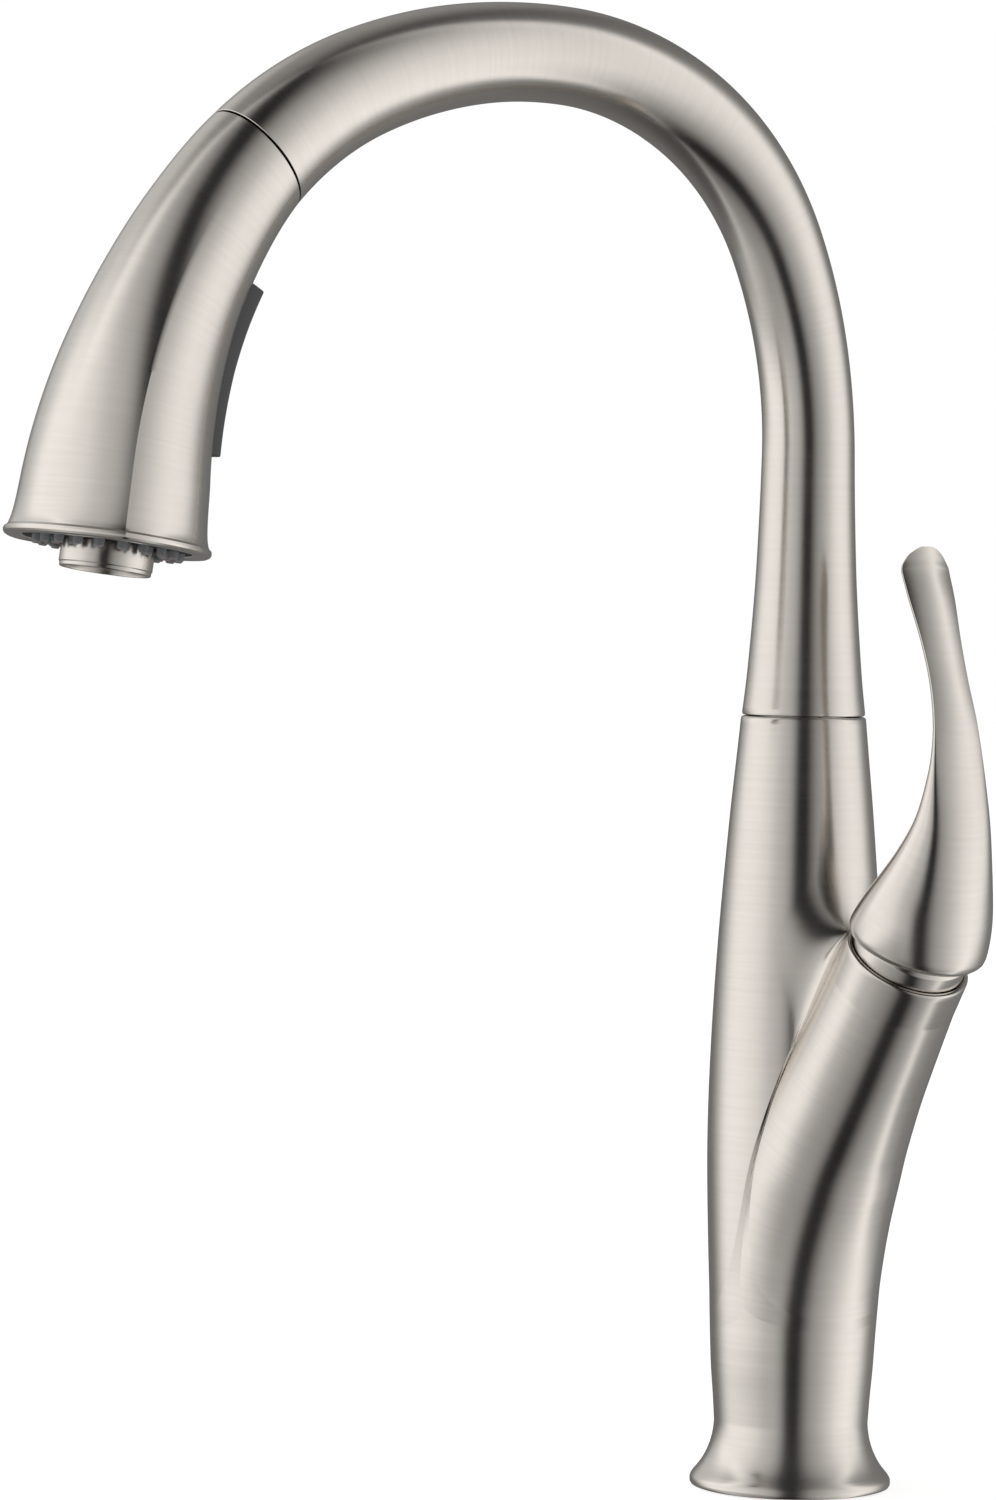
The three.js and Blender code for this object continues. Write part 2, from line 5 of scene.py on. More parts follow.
import bmesh
import bpy
import numpy as np
from mathutils import Matrix
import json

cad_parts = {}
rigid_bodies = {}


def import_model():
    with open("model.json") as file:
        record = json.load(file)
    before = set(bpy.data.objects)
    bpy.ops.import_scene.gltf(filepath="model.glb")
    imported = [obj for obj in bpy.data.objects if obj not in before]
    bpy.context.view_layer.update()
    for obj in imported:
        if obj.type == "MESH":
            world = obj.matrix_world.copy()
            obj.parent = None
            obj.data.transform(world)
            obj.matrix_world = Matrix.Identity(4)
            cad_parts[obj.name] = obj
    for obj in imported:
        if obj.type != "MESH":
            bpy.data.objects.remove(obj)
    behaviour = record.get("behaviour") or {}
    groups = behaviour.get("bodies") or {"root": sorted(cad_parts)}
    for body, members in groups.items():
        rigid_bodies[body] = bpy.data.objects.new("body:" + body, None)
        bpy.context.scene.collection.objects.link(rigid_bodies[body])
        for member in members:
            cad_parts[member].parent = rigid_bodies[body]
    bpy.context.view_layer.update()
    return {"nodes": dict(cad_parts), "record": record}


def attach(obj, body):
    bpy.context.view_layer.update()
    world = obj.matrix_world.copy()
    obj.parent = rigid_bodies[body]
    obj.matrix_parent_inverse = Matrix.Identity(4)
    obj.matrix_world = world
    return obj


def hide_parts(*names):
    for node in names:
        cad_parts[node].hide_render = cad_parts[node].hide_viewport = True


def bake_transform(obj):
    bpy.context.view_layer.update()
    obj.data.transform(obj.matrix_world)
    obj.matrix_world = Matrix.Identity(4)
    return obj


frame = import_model()
nodes = frame["nodes"]
MM = 0.001

# ---------------------------------------------------------------- driving dimensions, mm

SEAM_Z = 219.3  # where the spout turns on the column
RING = (51.1, 153.9)  # middle of the barrel's rim, x and z
RING_RADIUS = 17.9
BARREL_TILT = math.radians(33.1)
BARREL_LEAVES_Z = 40
BARREL_BEND_RADIUS = 119.5
BARREL_BEND_END = BARREL_LEAVES_Z + BARREL_BEND_RADIUS * BARREL_TILT
BEND_EASE = 16  # the barrel's bend comes in and goes out over twice this length
BEND_START_Z = 293
# The spout's centreline, as arcs: angle from the vertical at the end, in degrees, and radius.
SPOUT_ARCS = [(12, 151), (24, 141), (58, 80), (86, 89), (113, 144), (142, 104), (172, 158)]
HEAD_SEAM = 553.4  # distances along the spout's centreline, as on BUTTON
OUTLET = 667.3
SEAM_SKEW = math.radians(5.2)
TUBE_WALL = 1.7
SHELL_WALL = 2.0
BUTTON = (585.8, 638.2)
BUTTON_HALF_WIDTH = 6.8
BUTTON_PROUD = 3.3
PIVOT_W = -1
LEVER_TILT = math.radians(25.1)
STEM = 6.4
STEM_TOP = 30
HOSE_RADIUS = 6
JACK_X = 20.9
LOWER_END_Z = -62
GAP = 0.3
SKIN_FOOT_Z = 20  # the column is a plain turned shape below this
CREASE_FILLET = 0.25
CROTCH_FILLET = 20
LOW_FILLET = 1.2
FILLET_RISE = (124, 164)  # heights where the fillet above the crotch starts and is full
CREASE_RISE = (40, 54)  # heights where the crease beside the barrel starts and is full
CREASE_FADE = (120, 140)
FILLET_SPREAD_Z = 137  # the fillet's points are spread out evenly above this

# Profiles: distance up the piece's centreline, and radius.
TRUNK = [
    (18, 21.9), (35, 22.9), (70, 24.5), (98, 25.2), (125, 24.7), (155, 23.2), (189, 20.6), (211, 18.5),
    (SEAM_Z, 17.7),
]
BARREL = [
    (14, 21.4), (30, 22.4), (54, 23.5), (70, 23.6), (94, 22.8), (109, 21.3), (126, 19.6), (142, 18.6),
    (155.5, 17.9),
]
TUBE = [
    (SEAM_Z, 17.6), (228, 16.6), (237, 15.8), (249, 14.9), (262, 14.15), (285, 13.35), (310, 13.0),
    (350, 13.1), (400, 13.4), (460, 13.5), (490, 14.2), (520, 15.1), (HEAD_SEAM, 16.3),
]
HEAD = [
    (HEAD_SEAM, 16.3), (569, 17.2), (582, 18.1), (595, 19.0), (608, 20.1), (621, 21.3), (634, 22.5),
    (648, 23.8), (658, 24.5), (663, 25.2), (666.5, 26.4), (OUTLET, 26.1),
]


# ---------------------------------------------------------------- curves

def through(stations, at):
    """Smooth curve through (position, value) stations, at an array of positions."""
    stations = np.array(stations, float)
    x, y = stations[:, 0], stations[:, 1]
    at = np.asarray(at, float)
    i = np.clip(np.searchsorted(x, at), 1, len(x) - 1)
    before, after = np.clip(i - 2, 0, None), np.clip(i + 1, None, len(x) - 1)
    span = x[i] - x[i - 1]
    t = np.clip((at - x[i - 1]) / span, 0, 1)
    slope_from = (y[i] - y[before]) / (x[i] - x[before]) * span
    slope_to = (y[after] - y[i - 1]) / (x[after] - x[i - 1]) * span
    t2, t3 = t * t, t * t * t
    return (
        (2 * t3 - 3 * t2 + 1) * y[i - 1] + (t3 - 2 * t2 + t) * slope_from
        + (3 * t2 - 2 * t3) * y[i] + (t3 - t2) * slope_to
    )


def smoothstep(x, low, high):
    t = np.clip((np.asarray(x, float) - low) / (high - low), 0, 1)
    return t * t * (3 - 2 * t)


def centreline(distance, start, arcs):
    """Reach, height and angle from the vertical at distances along a chain of arcs."""
    distance = np.asarray(distance, float)
    angle, reach = np.zeros_like(distance), np.zeros_like(distance)
    height = np.minimum(distance, start)
    left = np.maximum(distance - start, 0)
    for to_degrees, radius in arcs:
        turn = np.minimum(left / radius, math.radians(to_degrees) - angle)
        reach = reach + radius * (np.cos(angle) - np.cos(angle + turn))
        height = height + radius * (np.sin(angle + turn) - np.sin(angle))
        angle = angle + turn
        left = left - turn * radius
    return reach + left * np.sin(angle), height + left * np.cos(angle), angle


def on_spout(points):
    """Moves points shaped round +Z onto the spout's centreline, with +X on its inner side."""
    x, y, z = points.T
    reach, height, angle = centreline(z, BEND_START_Z, SPOUT_ARCS)
    return np.stack([y, -(reach + x * np.cos(angle)), height - x * np.sin(angle)], 1)


def barrel_line(step=0.1):
    """The barrel's centreline, whose bend eases in and out: distance, x, z, angle and curvature."""
    along = np.arange(-30, 240, step)
    come, go = (
        smoothstep(along, at - BEND_EASE, at + BEND_EASE) for at in (BARREL_LEAVES_Z, BARREL_BEND_END)
    )
    curvature = (come - go) / BARREL_BEND_RADIUS
    angle = np.cumsum(curvature) * step
    x, z = np.cumsum(np.sin(angle)) * step, along[0] + np.cumsum(np.cos(angle)) * step
    return along, x, z, angle, curvature


BARREL_LINE = barrel_line()


def as_is(points):
    return points


def on_barrel(points):
    """Moves points shaped round +Z onto the barrel's centreline."""
    x, y, z = points.T
    line_x, line_z, angle = (np.interp(z, BARREL_LINE[0], values) for values in BARREL_LINE[1:4])
    return np.stack([line_x + x * np.cos(angle), y, line_z - x * np.sin(angle)], 1)


def skewed(points):
    """Leans the ends that meet at the head's seam, less and less away from it."""
    share = np.clip(1 - np.abs(points[:, 2] - HEAD_SEAM) / 20, 0, 1)
    points = points.copy()
    points[:, 2] += points[:, 0] * math.tan(SEAM_SKEW) * share
    return points


def placed(origin, tilt, towards_front=False):
    """A frame tilted from the vertical, towards +X or towards the spout's side."""
    turn = Matrix.Rotation(-math.pi / 2, 3, "Z") if towards_front else Matrix.Identity(3)
    rotation = np.array(turn @ Matrix.Rotation(tilt, 3, "Y"))
    return lambda points: points @ rotation.T + np.array(origin)


def spout_frame(distance, skew=0.0):
    """The frame across the spout at a distance along its centreline."""
    reach, height, angle = (float(v) for v in centreline(distance, BEND_START_Z, SPOUT_ARCS))
    return placed((0, -reach, height), angle - skew, True)


in_barrel = placed((RING[0], 0, RING[1]), BARREL_TILT)
BARREL_RIM = BARREL_BEND_END + (
    RING[1] - BARREL_LEAVES_Z - BARREL_BEND_RADIUS * math.sin(BARREL_TILT)
) / math.cos(BARREL_TILT)
pivot = in_barrel(np.array([[0.0, 0.0, PIVOT_W]]))[0]
in_lever = placed(pivot, LEVER_TILT)
in_dock = spout_frame(HEAD_SEAM, SEAM_SKEW)
in_outlet = spout_frame(OUTLET)


# ---------------------------------------------------------------- meshes

def bare_object(name, points, faces):
    """A mesh object from points in mm, linked to the scene."""
    mesh = bpy.data.meshes.new(name)
    mesh.from_pydata([tuple(p) for p in np.asarray(points) * MM], [], faces)
    obj = bpy.data.objects.new(name, mesh)
    bpy.context.scene.collection.objects.link(obj)
    return obj


def new_object(name, points, faces, look, sharp=32, body=None, replaced=()):
    """A finished piece from points in mm, with faces out, smooth apart from its sharp edges."""
    obj = bare_object(name, points, faces)
    clean(obj.data)
    return dress(obj, look, sharp, body, replaced)


def dress(obj, look, sharp=32, body=None, replaced=()):
    """Gives a piece its material, its smooth shading, and its place in the frame."""
    mesh = obj.data
    mesh.materials.clear()
    mesh.materials.append(look)
    mesh.shade_smooth()
    mesh.set_sharp_from_angle(angle=math.radians(sharp))
    if replaced:
        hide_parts(*replaced)
    if body:
        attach(obj, body)
    return obj


def clean(mesh):
    """Merges doubled points, drops loose edges and turns the faces outwards."""
    work = bmesh.new()
    work.from_mesh(mesh)
    bmesh.ops.remove_doubles(work, verts=work.verts, dist=2e-7)
    bmesh.ops.delete(work, geom=[e for e in work.edges if not e.link_faces], context="EDGES")
    bmesh.ops.recalc_face_normals(work, faces=work.faces)
    if work.calc_volume(signed=True) < 0:
        bmesh.ops.reverse_faces(work, faces=work.faces)
    work.to_mesh(mesh)
    work.free()


def grid_faces(rows, columns, wrap):
    """Quads between rows of a closed grid. With wrap, the last row also meets the first."""
    faces = []
    for i in range(rows if wrap else rows - 1):
        low, high = i * columns, (i + 1) % rows * columns
        faces += [
            (low + j, low + (j + 1) % columns, high + (j + 1) % columns, high + j)
            for j in range(columns)
        ]
    return faces


def turned(profile, segments=96, angles=None):
    """Points and faces of a [radius, height] profile turned about +Z."""
    profile = np.array(profile, float)
    on_axis = profile[0, 0] == 0 and profile[-1, 0] == 0
    if angles is None:
        angles = np.arange(segments) * 2 * math.pi / segments
    radius, height = profile[:, 0:1], profile[:, 1:2]
    shape = (len(profile), len(angles))
    points = np.stack([
        radius * np.cos(angles), radius * np.sin(angles), np.broadcast_to(height, shape),
    ], 2).reshape(-1, 3)
    return points, grid_faces(*shape, wrap=not on_axis)


def rounded(profile, radius=0.3, steps=4):
    """Rounds a profile's corners, apart from those on the axis."""
    profile = [np.array(p, float) for p in profile]
    on_axis = profile[0][0] == 0 and profile[-1][0] == 0
    out = []
    for i, here in enumerate(profile):
        before, after = profile[i - 1], profile[(i + 1) % len(profile)]
        if on_axis and i in (0, len(profile) - 1):
            out.append(here)
            continue
        a, b = before - here, after - here
        la, lb = np.linalg.norm(a), np.linalg.norm(b)
        turn = math.acos(np.clip(np.dot(a, b) / (la * lb), -1, 1))
        if turn > math.radians(172):
            out.append(here)
            continue
        cut_back = min(radius / math.tan(turn / 2), 0.45 * la, 0.45 * lb)
        start, end = here + a / la * cut_back, here + b / lb * cut_back
        out += [
            (1 - t) ** 2 * start + 2 * t * (1 - t) * here + t * t * end
            for t in np.linspace(0, 1, steps + 1)
        ]
    return [tuple(p) for p in out]


def sleeve(inner, outer, low, high, bevel=0.3):
    return rounded([(inner, low), (outer, low), (outer, high), (inner, high)], bevel)


def tool(points, faces):
    """An unseen solid to cut or join with."""
    obj = bare_object("tool", points, faces)
    clean(obj.data)
    return obj


def turned_tool(profile, place, segments=96):
    points, faces = turned(profile, segments)
    return tool(place(points), faces)


def box_tool(half_x, half_y, low, high, place):
    """A box round +Z, moved into place."""
    sides = [(-1, -1), (1, -1), (1, 1), (-1, 1)]
    corners = np.array([(x * half_x, y * half_y, z) for z in (low, high) for x, y in sides])
    walls = [(i, (i + 1) % 4, 4 + (i + 1) % 4, 4 + i) for i in range(4)]
    return tool(place(corners), [(3, 2, 1, 0), (4, 5, 6, 7)] + walls)


def apply_modifiers(obj):
    bpy.context.view_layer.update()
    graph = bpy.context.evaluated_depsgraph_get()
    mesh = bpy.data.meshes.new_from_object(obj.evaluated_get(graph))
    obj.modifiers.clear()
    obj.data = mesh


def combine(obj, other, operation="DIFFERENCE"):
    """Cuts another solid out of an object, or joins it on, and removes the other."""
    modifier = obj.modifiers.new("combine", "BOOLEAN")
    modifier.object = other
    modifier.operation = operation
    modifier.solver = "EXACT"
    apply_modifiers(obj)
    bpy.data.objects.remove(other)


def read(items, key, width=1, kind=float):
    """One property of a mesh's points, faces or corners, as an array with a row for each."""
    values = np.zeros(len(items) * width, kind)
    items.foreach_get(key, values)
    return values.reshape(-1, width) if width > 1 else values


def vertices(mesh):
    return read(mesh.vertices, "co", 3) / MM


def set_vertices(mesh, points):
    mesh.vertices.foreach_set("co", (points * MM).ravel())
    mesh.update()


def set_grain(obj, local):
    """Stores each point's place in its piece's own straight frame, which the brushing follows."""
    mesh = obj.data
    attribute = mesh.attributes.new("grain", "FLOAT_VECTOR", "POINT")
    attribute.data.foreach_set("vector", (np.asarray(local) * MM).ravel())
    return obj


# ---------------------------------------------------------------- materials

class Nodes:
    """Short forms for building the node tree of a material or a world."""

    def __init__(self, owner):
        owner.use_nodes = True
        self.owner = owner
        self.tree = owner.node_tree

    def give(self, socket, value):
        if isinstance(value, bpy.types.NodeSocket):
            self.tree.links.new(value, socket)
        else:
            socket.default_value = value

    def node(self, kind, inputs=None, **settings):
        """A node with its settings, then its inputs as values or links."""
        made = self.tree.nodes.new(kind)
        for key, value in settings.items():
            setattr(made, key, value)
        for key, value in (inputs or {}).items():
            self.give(made.inputs[key], value)
        return made

    def maths(self, operation, *values):
        return self.node("ShaderNodeMath", dict(enumerate(values)), operation=operation).outputs[0]

    def map_range(self, value, low, high, to_low=0.0, to_high=1.0, curve="LINEAR"):
        ranges = {"From Min": low, "From Max": high, "To Min": to_low, "To Max": to_high}
        return self.node(
            "ShaderNodeMapRange", {"Value": value, **ranges}, interpolation_type=curve,
        ).outputs[0]

    def place(self, source="Object"):
        if source == "grain":
            return self.node("ShaderNodeAttribute", attribute_name="grain").outputs["Vector"]
        return self.node("ShaderNodeTexCoord").outputs[source]

    def noise(self, vector, scale, detail=2.0, stretch=(1, 1, 1), roughness=0.5):
        mapped = self.node("ShaderNodeMapping", {"Vector": vector, "Scale": stretch})
        return self.node(
            "ShaderNodeTexNoise",
            {"Vector": mapped.outputs[0], "Scale": scale, "Detail": detail, "Roughness": roughness},
        ).outputs[0]

    def spread(self, value, low, high):
        """Maps a noise's usual 0.3 to 0.7 onto low to high."""
        return self.map_range(value, 0.3, 0.7, low, high)

    def tint(self, value, dark, light):
        return self.node(
            "ShaderNodeMix", {"Factor": value, "A": (*dark, 1), "B": (*light, 1)}, data_type="RGBA",
        ).outputs["Result"]

    def crease_line(self):
        """A hairline groove where the piece's "crease" value, a distance in metres, reaches zero."""
        crease = self.node("ShaderNodeAttribute", attribute_name="crease").outputs["Fac"]
        height = self.map_range(crease, 0.0, 0.0005)
        end = self.node("ShaderNodeAttribute", attribute_name="crease_end").outputs["Fac"]
        return self.bump(self.maths("MAXIMUM", height, end), 0.00028)

    def bump(self, height, distance, strength=1.0, normal=None):
        inputs = {"Height": height, "Distance": distance, "Strength": strength}
        if normal is not None:
            inputs["Normal"] = normal
        return self.node("ShaderNodeBump", inputs).outputs[0]

    def set(self, **inputs):
        """Sets the material's own inputs, and gives the material."""
        shader = self.tree.nodes["Principled BSDF"]
        for key, value in inputs.items():
            self.give(shader.inputs[key.replace("_", " ")], value)
        return self.owner


def new_material(name):
    return Nodes(bpy.data.materials.new(name))


def brushed_metal(name, dark, light, roughness, grain="grain", fine=5200.0, depth=4e-6):
    """Metal with fine lines round its axis, slight blotches and a soft sheen."""
    n = new_material(name)
    place = n.place(grain)
    lines = n.noise(place, 1.0, 3.0, (60, 60, fine), 0.6)
    broad = n.noise(place, 1.0, 2.0, (30, 30, fine / 6), 0.5)
    blotch = n.noise(place, 38.0, 3.0)
    mixed = n.maths("MULTIPLY", n.maths("ADD", lines, broad), 0.5)
    rough = n.spread(blotch, roughness - 0.02, roughness + 0.02)
    rough = n.maths("ADD", rough, n.spread(lines, -0.02, 0.02))
    return n.set(
        Base_Color=n.tint(n.spread(mixed, 0.0, 1.0), dark, light), Metallic=1.0, Roughness=rough,
        Normal=n.bump(lines, depth, 0.3, n.crease_line()),
    )


def moulded(name, dark, light, roughness, grain_size=1500.0, depth=2.5e-5, **extra):
    """Moulded plastic or rubber: an even colour with fine texture and small stains."""
    n = new_material(name)
    place = n.place()
    fine = n.noise(place, grain_size, 3.0)
    stain = n.noise(place, 60.0, 3.0)
    return n.set(
        Base_Color=n.tint(n.spread(stain, 0.0, 1.0), dark, light),
        Roughness=n.spread(stain, roughness - 0.05, roughness + 0.05),
        Normal=n.bump(fine, depth, 0.5),
        **extra,
    )


NICKEL = brushed_metal("brushed_nickel", (0.672, 0.63, 0.582), (0.718, 0.674, 0.623), 0.205)
STEEL = brushed_metal("plain_steel", (0.52, 0.52, 0.51), (0.66, 0.66, 0.65), 0.27, "Object", 900.0)
BRASS = brushed_metal("turned_brass", (0.56, 0.42, 0.2), (0.72, 0.56, 0.3), 0.3, "Object", 1200.0)
COPPER = brushed_metal("drawn_copper", (0.6, 0.3, 0.18), (0.78, 0.44, 0.3), 0.28, "Object", 500.0)
PLASTIC = moulded("black_plastic", (0.016, 0.016, 0.017), (0.03, 0.03, 0.031), 0.42)
BUTTON_LOOK = moulded("button_satin", (0.034, 0.034, 0.036), (0.045, 0.045, 0.047), 0.36, 2400.0)
FACE_LOOK = moulded(
    "matt_face", (0.018, 0.018, 0.019), (0.028, 0.028, 0.03), 0.9, Specular_IOR_Level=0.08,
)
WHITE = moulded("white_plastic", (0.72, 0.71, 0.66), (0.8, 0.79, 0.75), 0.4)
RUBBER = moulded("black_rubber", (0.012, 0.012, 0.012), (0.022, 0.022, 0.022), 0.7, 900.0)
CERAMIC = moulded("polished_ceramic", (0.82, 0.8, 0.76), (0.88, 0.86, 0.83), 0.14, 3000.0, 4e-6)
SILICONE = moulded(
    "grey_silicone", (0.13, 0.135, 0.14), (0.2, 0.205, 0.21), 0.4, 1200.0, 1.2e-5,
    Transmission_Weight=0.2, IOR=1.41, Specular_IOR_Level=0.3,
    Subsurface_Weight=0.3, Subsurface_Scale=0.002,
)


BRAID_STRANDS = 12.0
BRAID_PITCH = 2600.0  # radians of a strand's wave in a metre of hose


def braid():
    """Black nylon braid: two sets of strands wound round the hose, over and under, with painted shade
    in the hollows between them.
    """
    n = new_material("nylon_braid")
    place = n.place("grain")
    parts = n.node("ShaderNodeSeparateXYZ", {"Vector": place}).outputs
    around = n.maths("MULTIPLY", n.maths("ARCTAN2", parts[1], parts[0]), BRAID_STRANDS)
    along = n.maths("MULTIPLY", parts[2], BRAID_PITCH)
    strands = [n.maths("SINE", n.maths(operation, along, around)) for operation in ("ADD", "SUBTRACT")]
    weave = n.maths("MAXIMUM", *strands)
    height = n.map_range(weave, -0.6, 1.0)
    # Painted shade: the colour darkens where the weave sinks between the strands.
    colour = n.tint(height, (0.01, 0.01, 0.011), (0.07, 0.07, 0.075))
    return n.set(Base_Color=colour, Roughness=0.5, Normal=n.bump(height, 0.0004, 0.9))


HOSE = braid()

# ---------------------------------------------------------------- body casting

def trunk_distance(p):
    """How far points are outside the column, by radius."""
    return np.hypot(p[:, 0], p[:, 1]) - through(TRUNK, p[:, 2])


def barrel_place(p):
    """Local x, y and distance along the barrel's centreline, for points in the row frame."""
    x, z = p[:, 0], p[:, 2]
    turn = np.clip(np.arctan2(z - BARREL_LEAVES_Z, BARREL_BEND_RADIUS - x), 0, BARREL_TILT)
    along = np.where(z < BARREL_LEAVES_Z, z, BARREL_LEAVES_Z + turn * BARREL_BEND_RADIUS)
    for _ in range(5):
        line_x, line_z, angle, curvature = (
            np.interp(along, BARREL_LINE[0], values) for values in BARREL_LINE[1:]
        )
        sine, cosine = np.sin(angle), np.cos(angle)
        local_x = (x - line_x) * cosine - (z - line_z) * sine
        ahead = (x - line_x) * sine + (z - line_z) * cosine
        along = along + ahead / np.maximum(1 - curvature * local_x, 0.3)
    return local_x, p[:, 1], along


def barrel_distance(p):
    """How far points are outside the barrel, by radius."""
    x, y, along = barrel_place(p)
    return np.hypot(x, y) - through(BARREL, along)


def low_blend(z):
    """1 where the barrel first leaves the column, 0 elsewhere."""
    return smoothstep(z, 22, 36) * (1 - smoothstep(z, 50, 66))


def fillet_width(p):
    """How far the column and the barrel blend, in mm: hardly at all along the crease."""
    z = p[:, 2]
    return CREASE_FILLET + CROTCH_FILLET * smoothstep(z, *FILLET_RISE) + LOW_FILLET * low_blend(z)


def body_field(p):
    """Below 0 inside the body's skin: trunk and barrel, with a fillet that grows upwards."""
    a, b = trunk_distance(p), barrel_distance(p)
    width = fillet_width(p)
    overlap = np.maximum(width - np.abs(a - b), 0) / width
    return np.minimum(a, b) - overlap * overlap * width / 4


def on_skin(p, distance, reach, below_seam, below_rim):
    """Which points lie within reach of the casting's outer skin, away from its foot, top and rim."""
    at_rim = (barrel_distance(p) < 1) & (barrel_place(p)[2] > BARREL_RIM - below_rim)
    z = p[:, 2]
    return (np.abs(distance) < reach) & (z > SKIN_FOOT_Z) & (z < SEAM_Z - below_seam) & ~at_rim


def field_slope(p, field=body_field, step=0.02):
    """The direction in which a field grows fastest, by central differences."""
    return np.stack([(field(p + axis) - field(p - axis)) / (2 * step) for axis in np.eye(3) * step], 1)


def settle(points, near, times):
    """Moves the points marked near onto the blended skin."""
    for _ in range(times):
        skin = points[near]
        slope = field_slope(skin)
        size = np.maximum(np.sum(slope * slope, 1), 0.2)
        points[near] = skin - slope * (body_field(skin) / size)[:, None]


def shape_skin(mesh):
    """Moves the joined column and barrel onto the blended skin, evenly spread over the fillet."""
    points = vertices(mesh)
    trunk, barrel = trunk_distance(points), barrel_distance(points)
    near = on_skin(points, np.minimum(trunk, barrel), 0.6, 3, 1.4)
    settle(points, near, 8)
    blended = np.abs(trunk_distance(points) - barrel_distance(points)) < fillet_width(points) + 1.5
    blended &= near & (points[:, 2] > FILLET_SPREAD_Z)
    edges = read(mesh.edges, "vertices", 2, int)
    start, stop = np.concatenate([edges, edges[:, ::-1]]).T
    neighbours = np.maximum(np.bincount(start, minlength=len(points)), 1)
    for _ in range(24):
        middle = np.stack([
            np.bincount(start, points[stop, axis], len(points)) / neighbours for axis in range(3)
        ], 1)
        points[blended] += 0.6 * (middle - points)[blended]
        settle(points, near, 1)
    set_vertices(mesh, points)


def body_casting():
    """Column and barrel in one casting, with its bores and the groove for its gasket."""
    heights = np.linspace(18, SEAM_Z - 0.7, 140)
    foot = [
        (0, 0), (27.7, 0), (28.25, 0.2), (28.55, 0.7), (28.6, 1.3), (28.55, 2.1), (28.3, 2.7),
        (27.85, 3.4), (27.1, 4.3), (26.2, 5.4), (25.3, 6.7), (24.5, 8.1), (23.7, 9.8), (23.0, 11.7),
        (22.45, 13.7), (22.1, 15.8),
    ]
    top = float(through(TRUNK, SEAM_Z))
    trunk = foot + list(zip(through(TRUNK, heights), heights)) + [
        (top - 0.15, SEAM_Z - 0.25), (top - 0.5, SEAM_Z), (0, SEAM_Z),
    ]
    points, faces = turned(trunk, 176)
    casting = tool(points, faces)
    distances = np.linspace(20, BARREL_RIM - 0.8, 110)
    barrel = [(0, 20)] + list(zip(through(BARREL, distances), distances)) + [
        (RING_RADIUS - 0.06, BARREL_RIM - 0.45), (RING_RADIUS - 0.22, BARREL_RIM - 0.16),
        (RING_RADIUS - 0.5, BARREL_RIM), (0, BARREL_RIM),
    ]
    combine(casting, turned_tool(barrel, on_barrel, 176), "UNION")
    shape_skin(casting.data)
    column_bore = [
        (0, -1), (16.3, -1), (16.3, 12.3), (17, 12.3), (17, 95), (14, 110), (14, 160), (11.5, 168),
        (11.5, 184), (13.5, 184), (13.5, SEAM_Z + 1), (0, SEAM_Z + 1),
    ]
    cartridge_bore = [
        (0, -80), (12, -80), (12, -36), (14.8, -36), (14.8, -2), (16.6, -2), (16.6, 1), (0, 1),
    ]
    gasket_groove = [(20.5, -1), (24.5, -1), (24.5, 2), (20.5, 2)]
    wear_ring_groove = [
        (13.8, SEAM_Z - 1.5), (15.8, SEAM_Z - 1.5), (15.8, SEAM_Z + 1), (13.8, SEAM_Z + 1),
    ]
    for profile, place in [
        (column_bore, as_is), (cartridge_bore, in_barrel), (gasket_groove, as_is),
        (wear_ring_groove, as_is),
    ]:
        combine(casting, turned_tool(profile, place))
    mark_grain_and_crease(casting)
    dress(casting, NICKEL, 30)
    smooth_skin(casting.data)
    return casting


def mark_grain_and_crease(casting):
    """Brushing that follows column or barrel, and where the crease between them runs."""
    points = vertices(casting.data)
    x, y, along = barrel_place(points)
    crease = trunk_distance(points) - barrel_distance(points)
    set_grain(casting, np.where((crease < 0)[:, None], points, np.stack([x, y, along], 1)))
    risen = smoothstep(points[:, 2], *CREASE_RISE)
    faded = 1 - risen * (1 - smoothstep(points[:, 2], *CREASE_FADE))
    for name, values in (("crease", np.minimum(np.abs(crease), 3) * MM), ("crease_end", faded)):
        casting.data.attributes.new(name, "FLOAT", "POINT").data.foreach_set("value", values)


def smooth_skin(mesh):
    """Gives the outer skin the normals of its true surface, so that its fine facets never show."""
    points = vertices(mesh)
    normals = read(mesh.corner_normals, "vector", 3)
    corner = read(mesh.loops, "vertex_index", kind=int)
    centres = read(mesh.polygons, "center", 3) / MM
    counts = read(mesh.polygons, "loop_total", kind=int)
    owner = np.repeat(np.arange(len(counts)), counts)
    at = points[corner] * 0.9 + centres[owner] * 0.1
    on_trunk = (trunk_distance(centres) < barrel_distance(centres))[owner, None]
    sharp = np.where(on_trunk, field_slope(at, trunk_distance), field_slope(at, barrel_distance))
    blended = np.maximum(smoothstep(at[:, 2:], 122, 134), low_blend(at[:, 2:]))
    slope = sharp + blended * (field_slope(at) - sharp)
    slope /= np.maximum(np.linalg.norm(slope, axis=1), 1e-9)[:, None]
    faces_out = np.sum(slope * read(mesh.polygons, "normal", 3)[owner], 1) > 0.8
    skin = on_skin(at, body_field(at), 0.15, 0.9, 1.5) & faces_out
    normals[skin] = slope[skin]
    mesh.normals_split_custom_set(normals)


body = body_casting()
body.name = "body_casting"
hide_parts("faucet_body")
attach(body, "body")

# ---------------------------------------------------------------- turned pieces

def lathe(name, profile, place, look, body, replaced):
    points, faces = turned(profile)
    return new_object(name, place(points), faces, look, 32, body, replaced)


def grained(name, points, faces, place):
    """A mesh placed along a centreline, whose brushing follows that line."""
    obj = bare_object(name, place(points), faces)
    set_grain(obj, points)
    clean(obj.data)
    return obj


def with_grain(name, profile, place, look, body, replaced, segments=128, sharp=32):
    """A turned piece whose brushing follows its own axis, even where it is bent."""
    points, faces = turned(profile, segments)
    return dress(grained(name, points, faces, place), look, sharp, body, replaced)


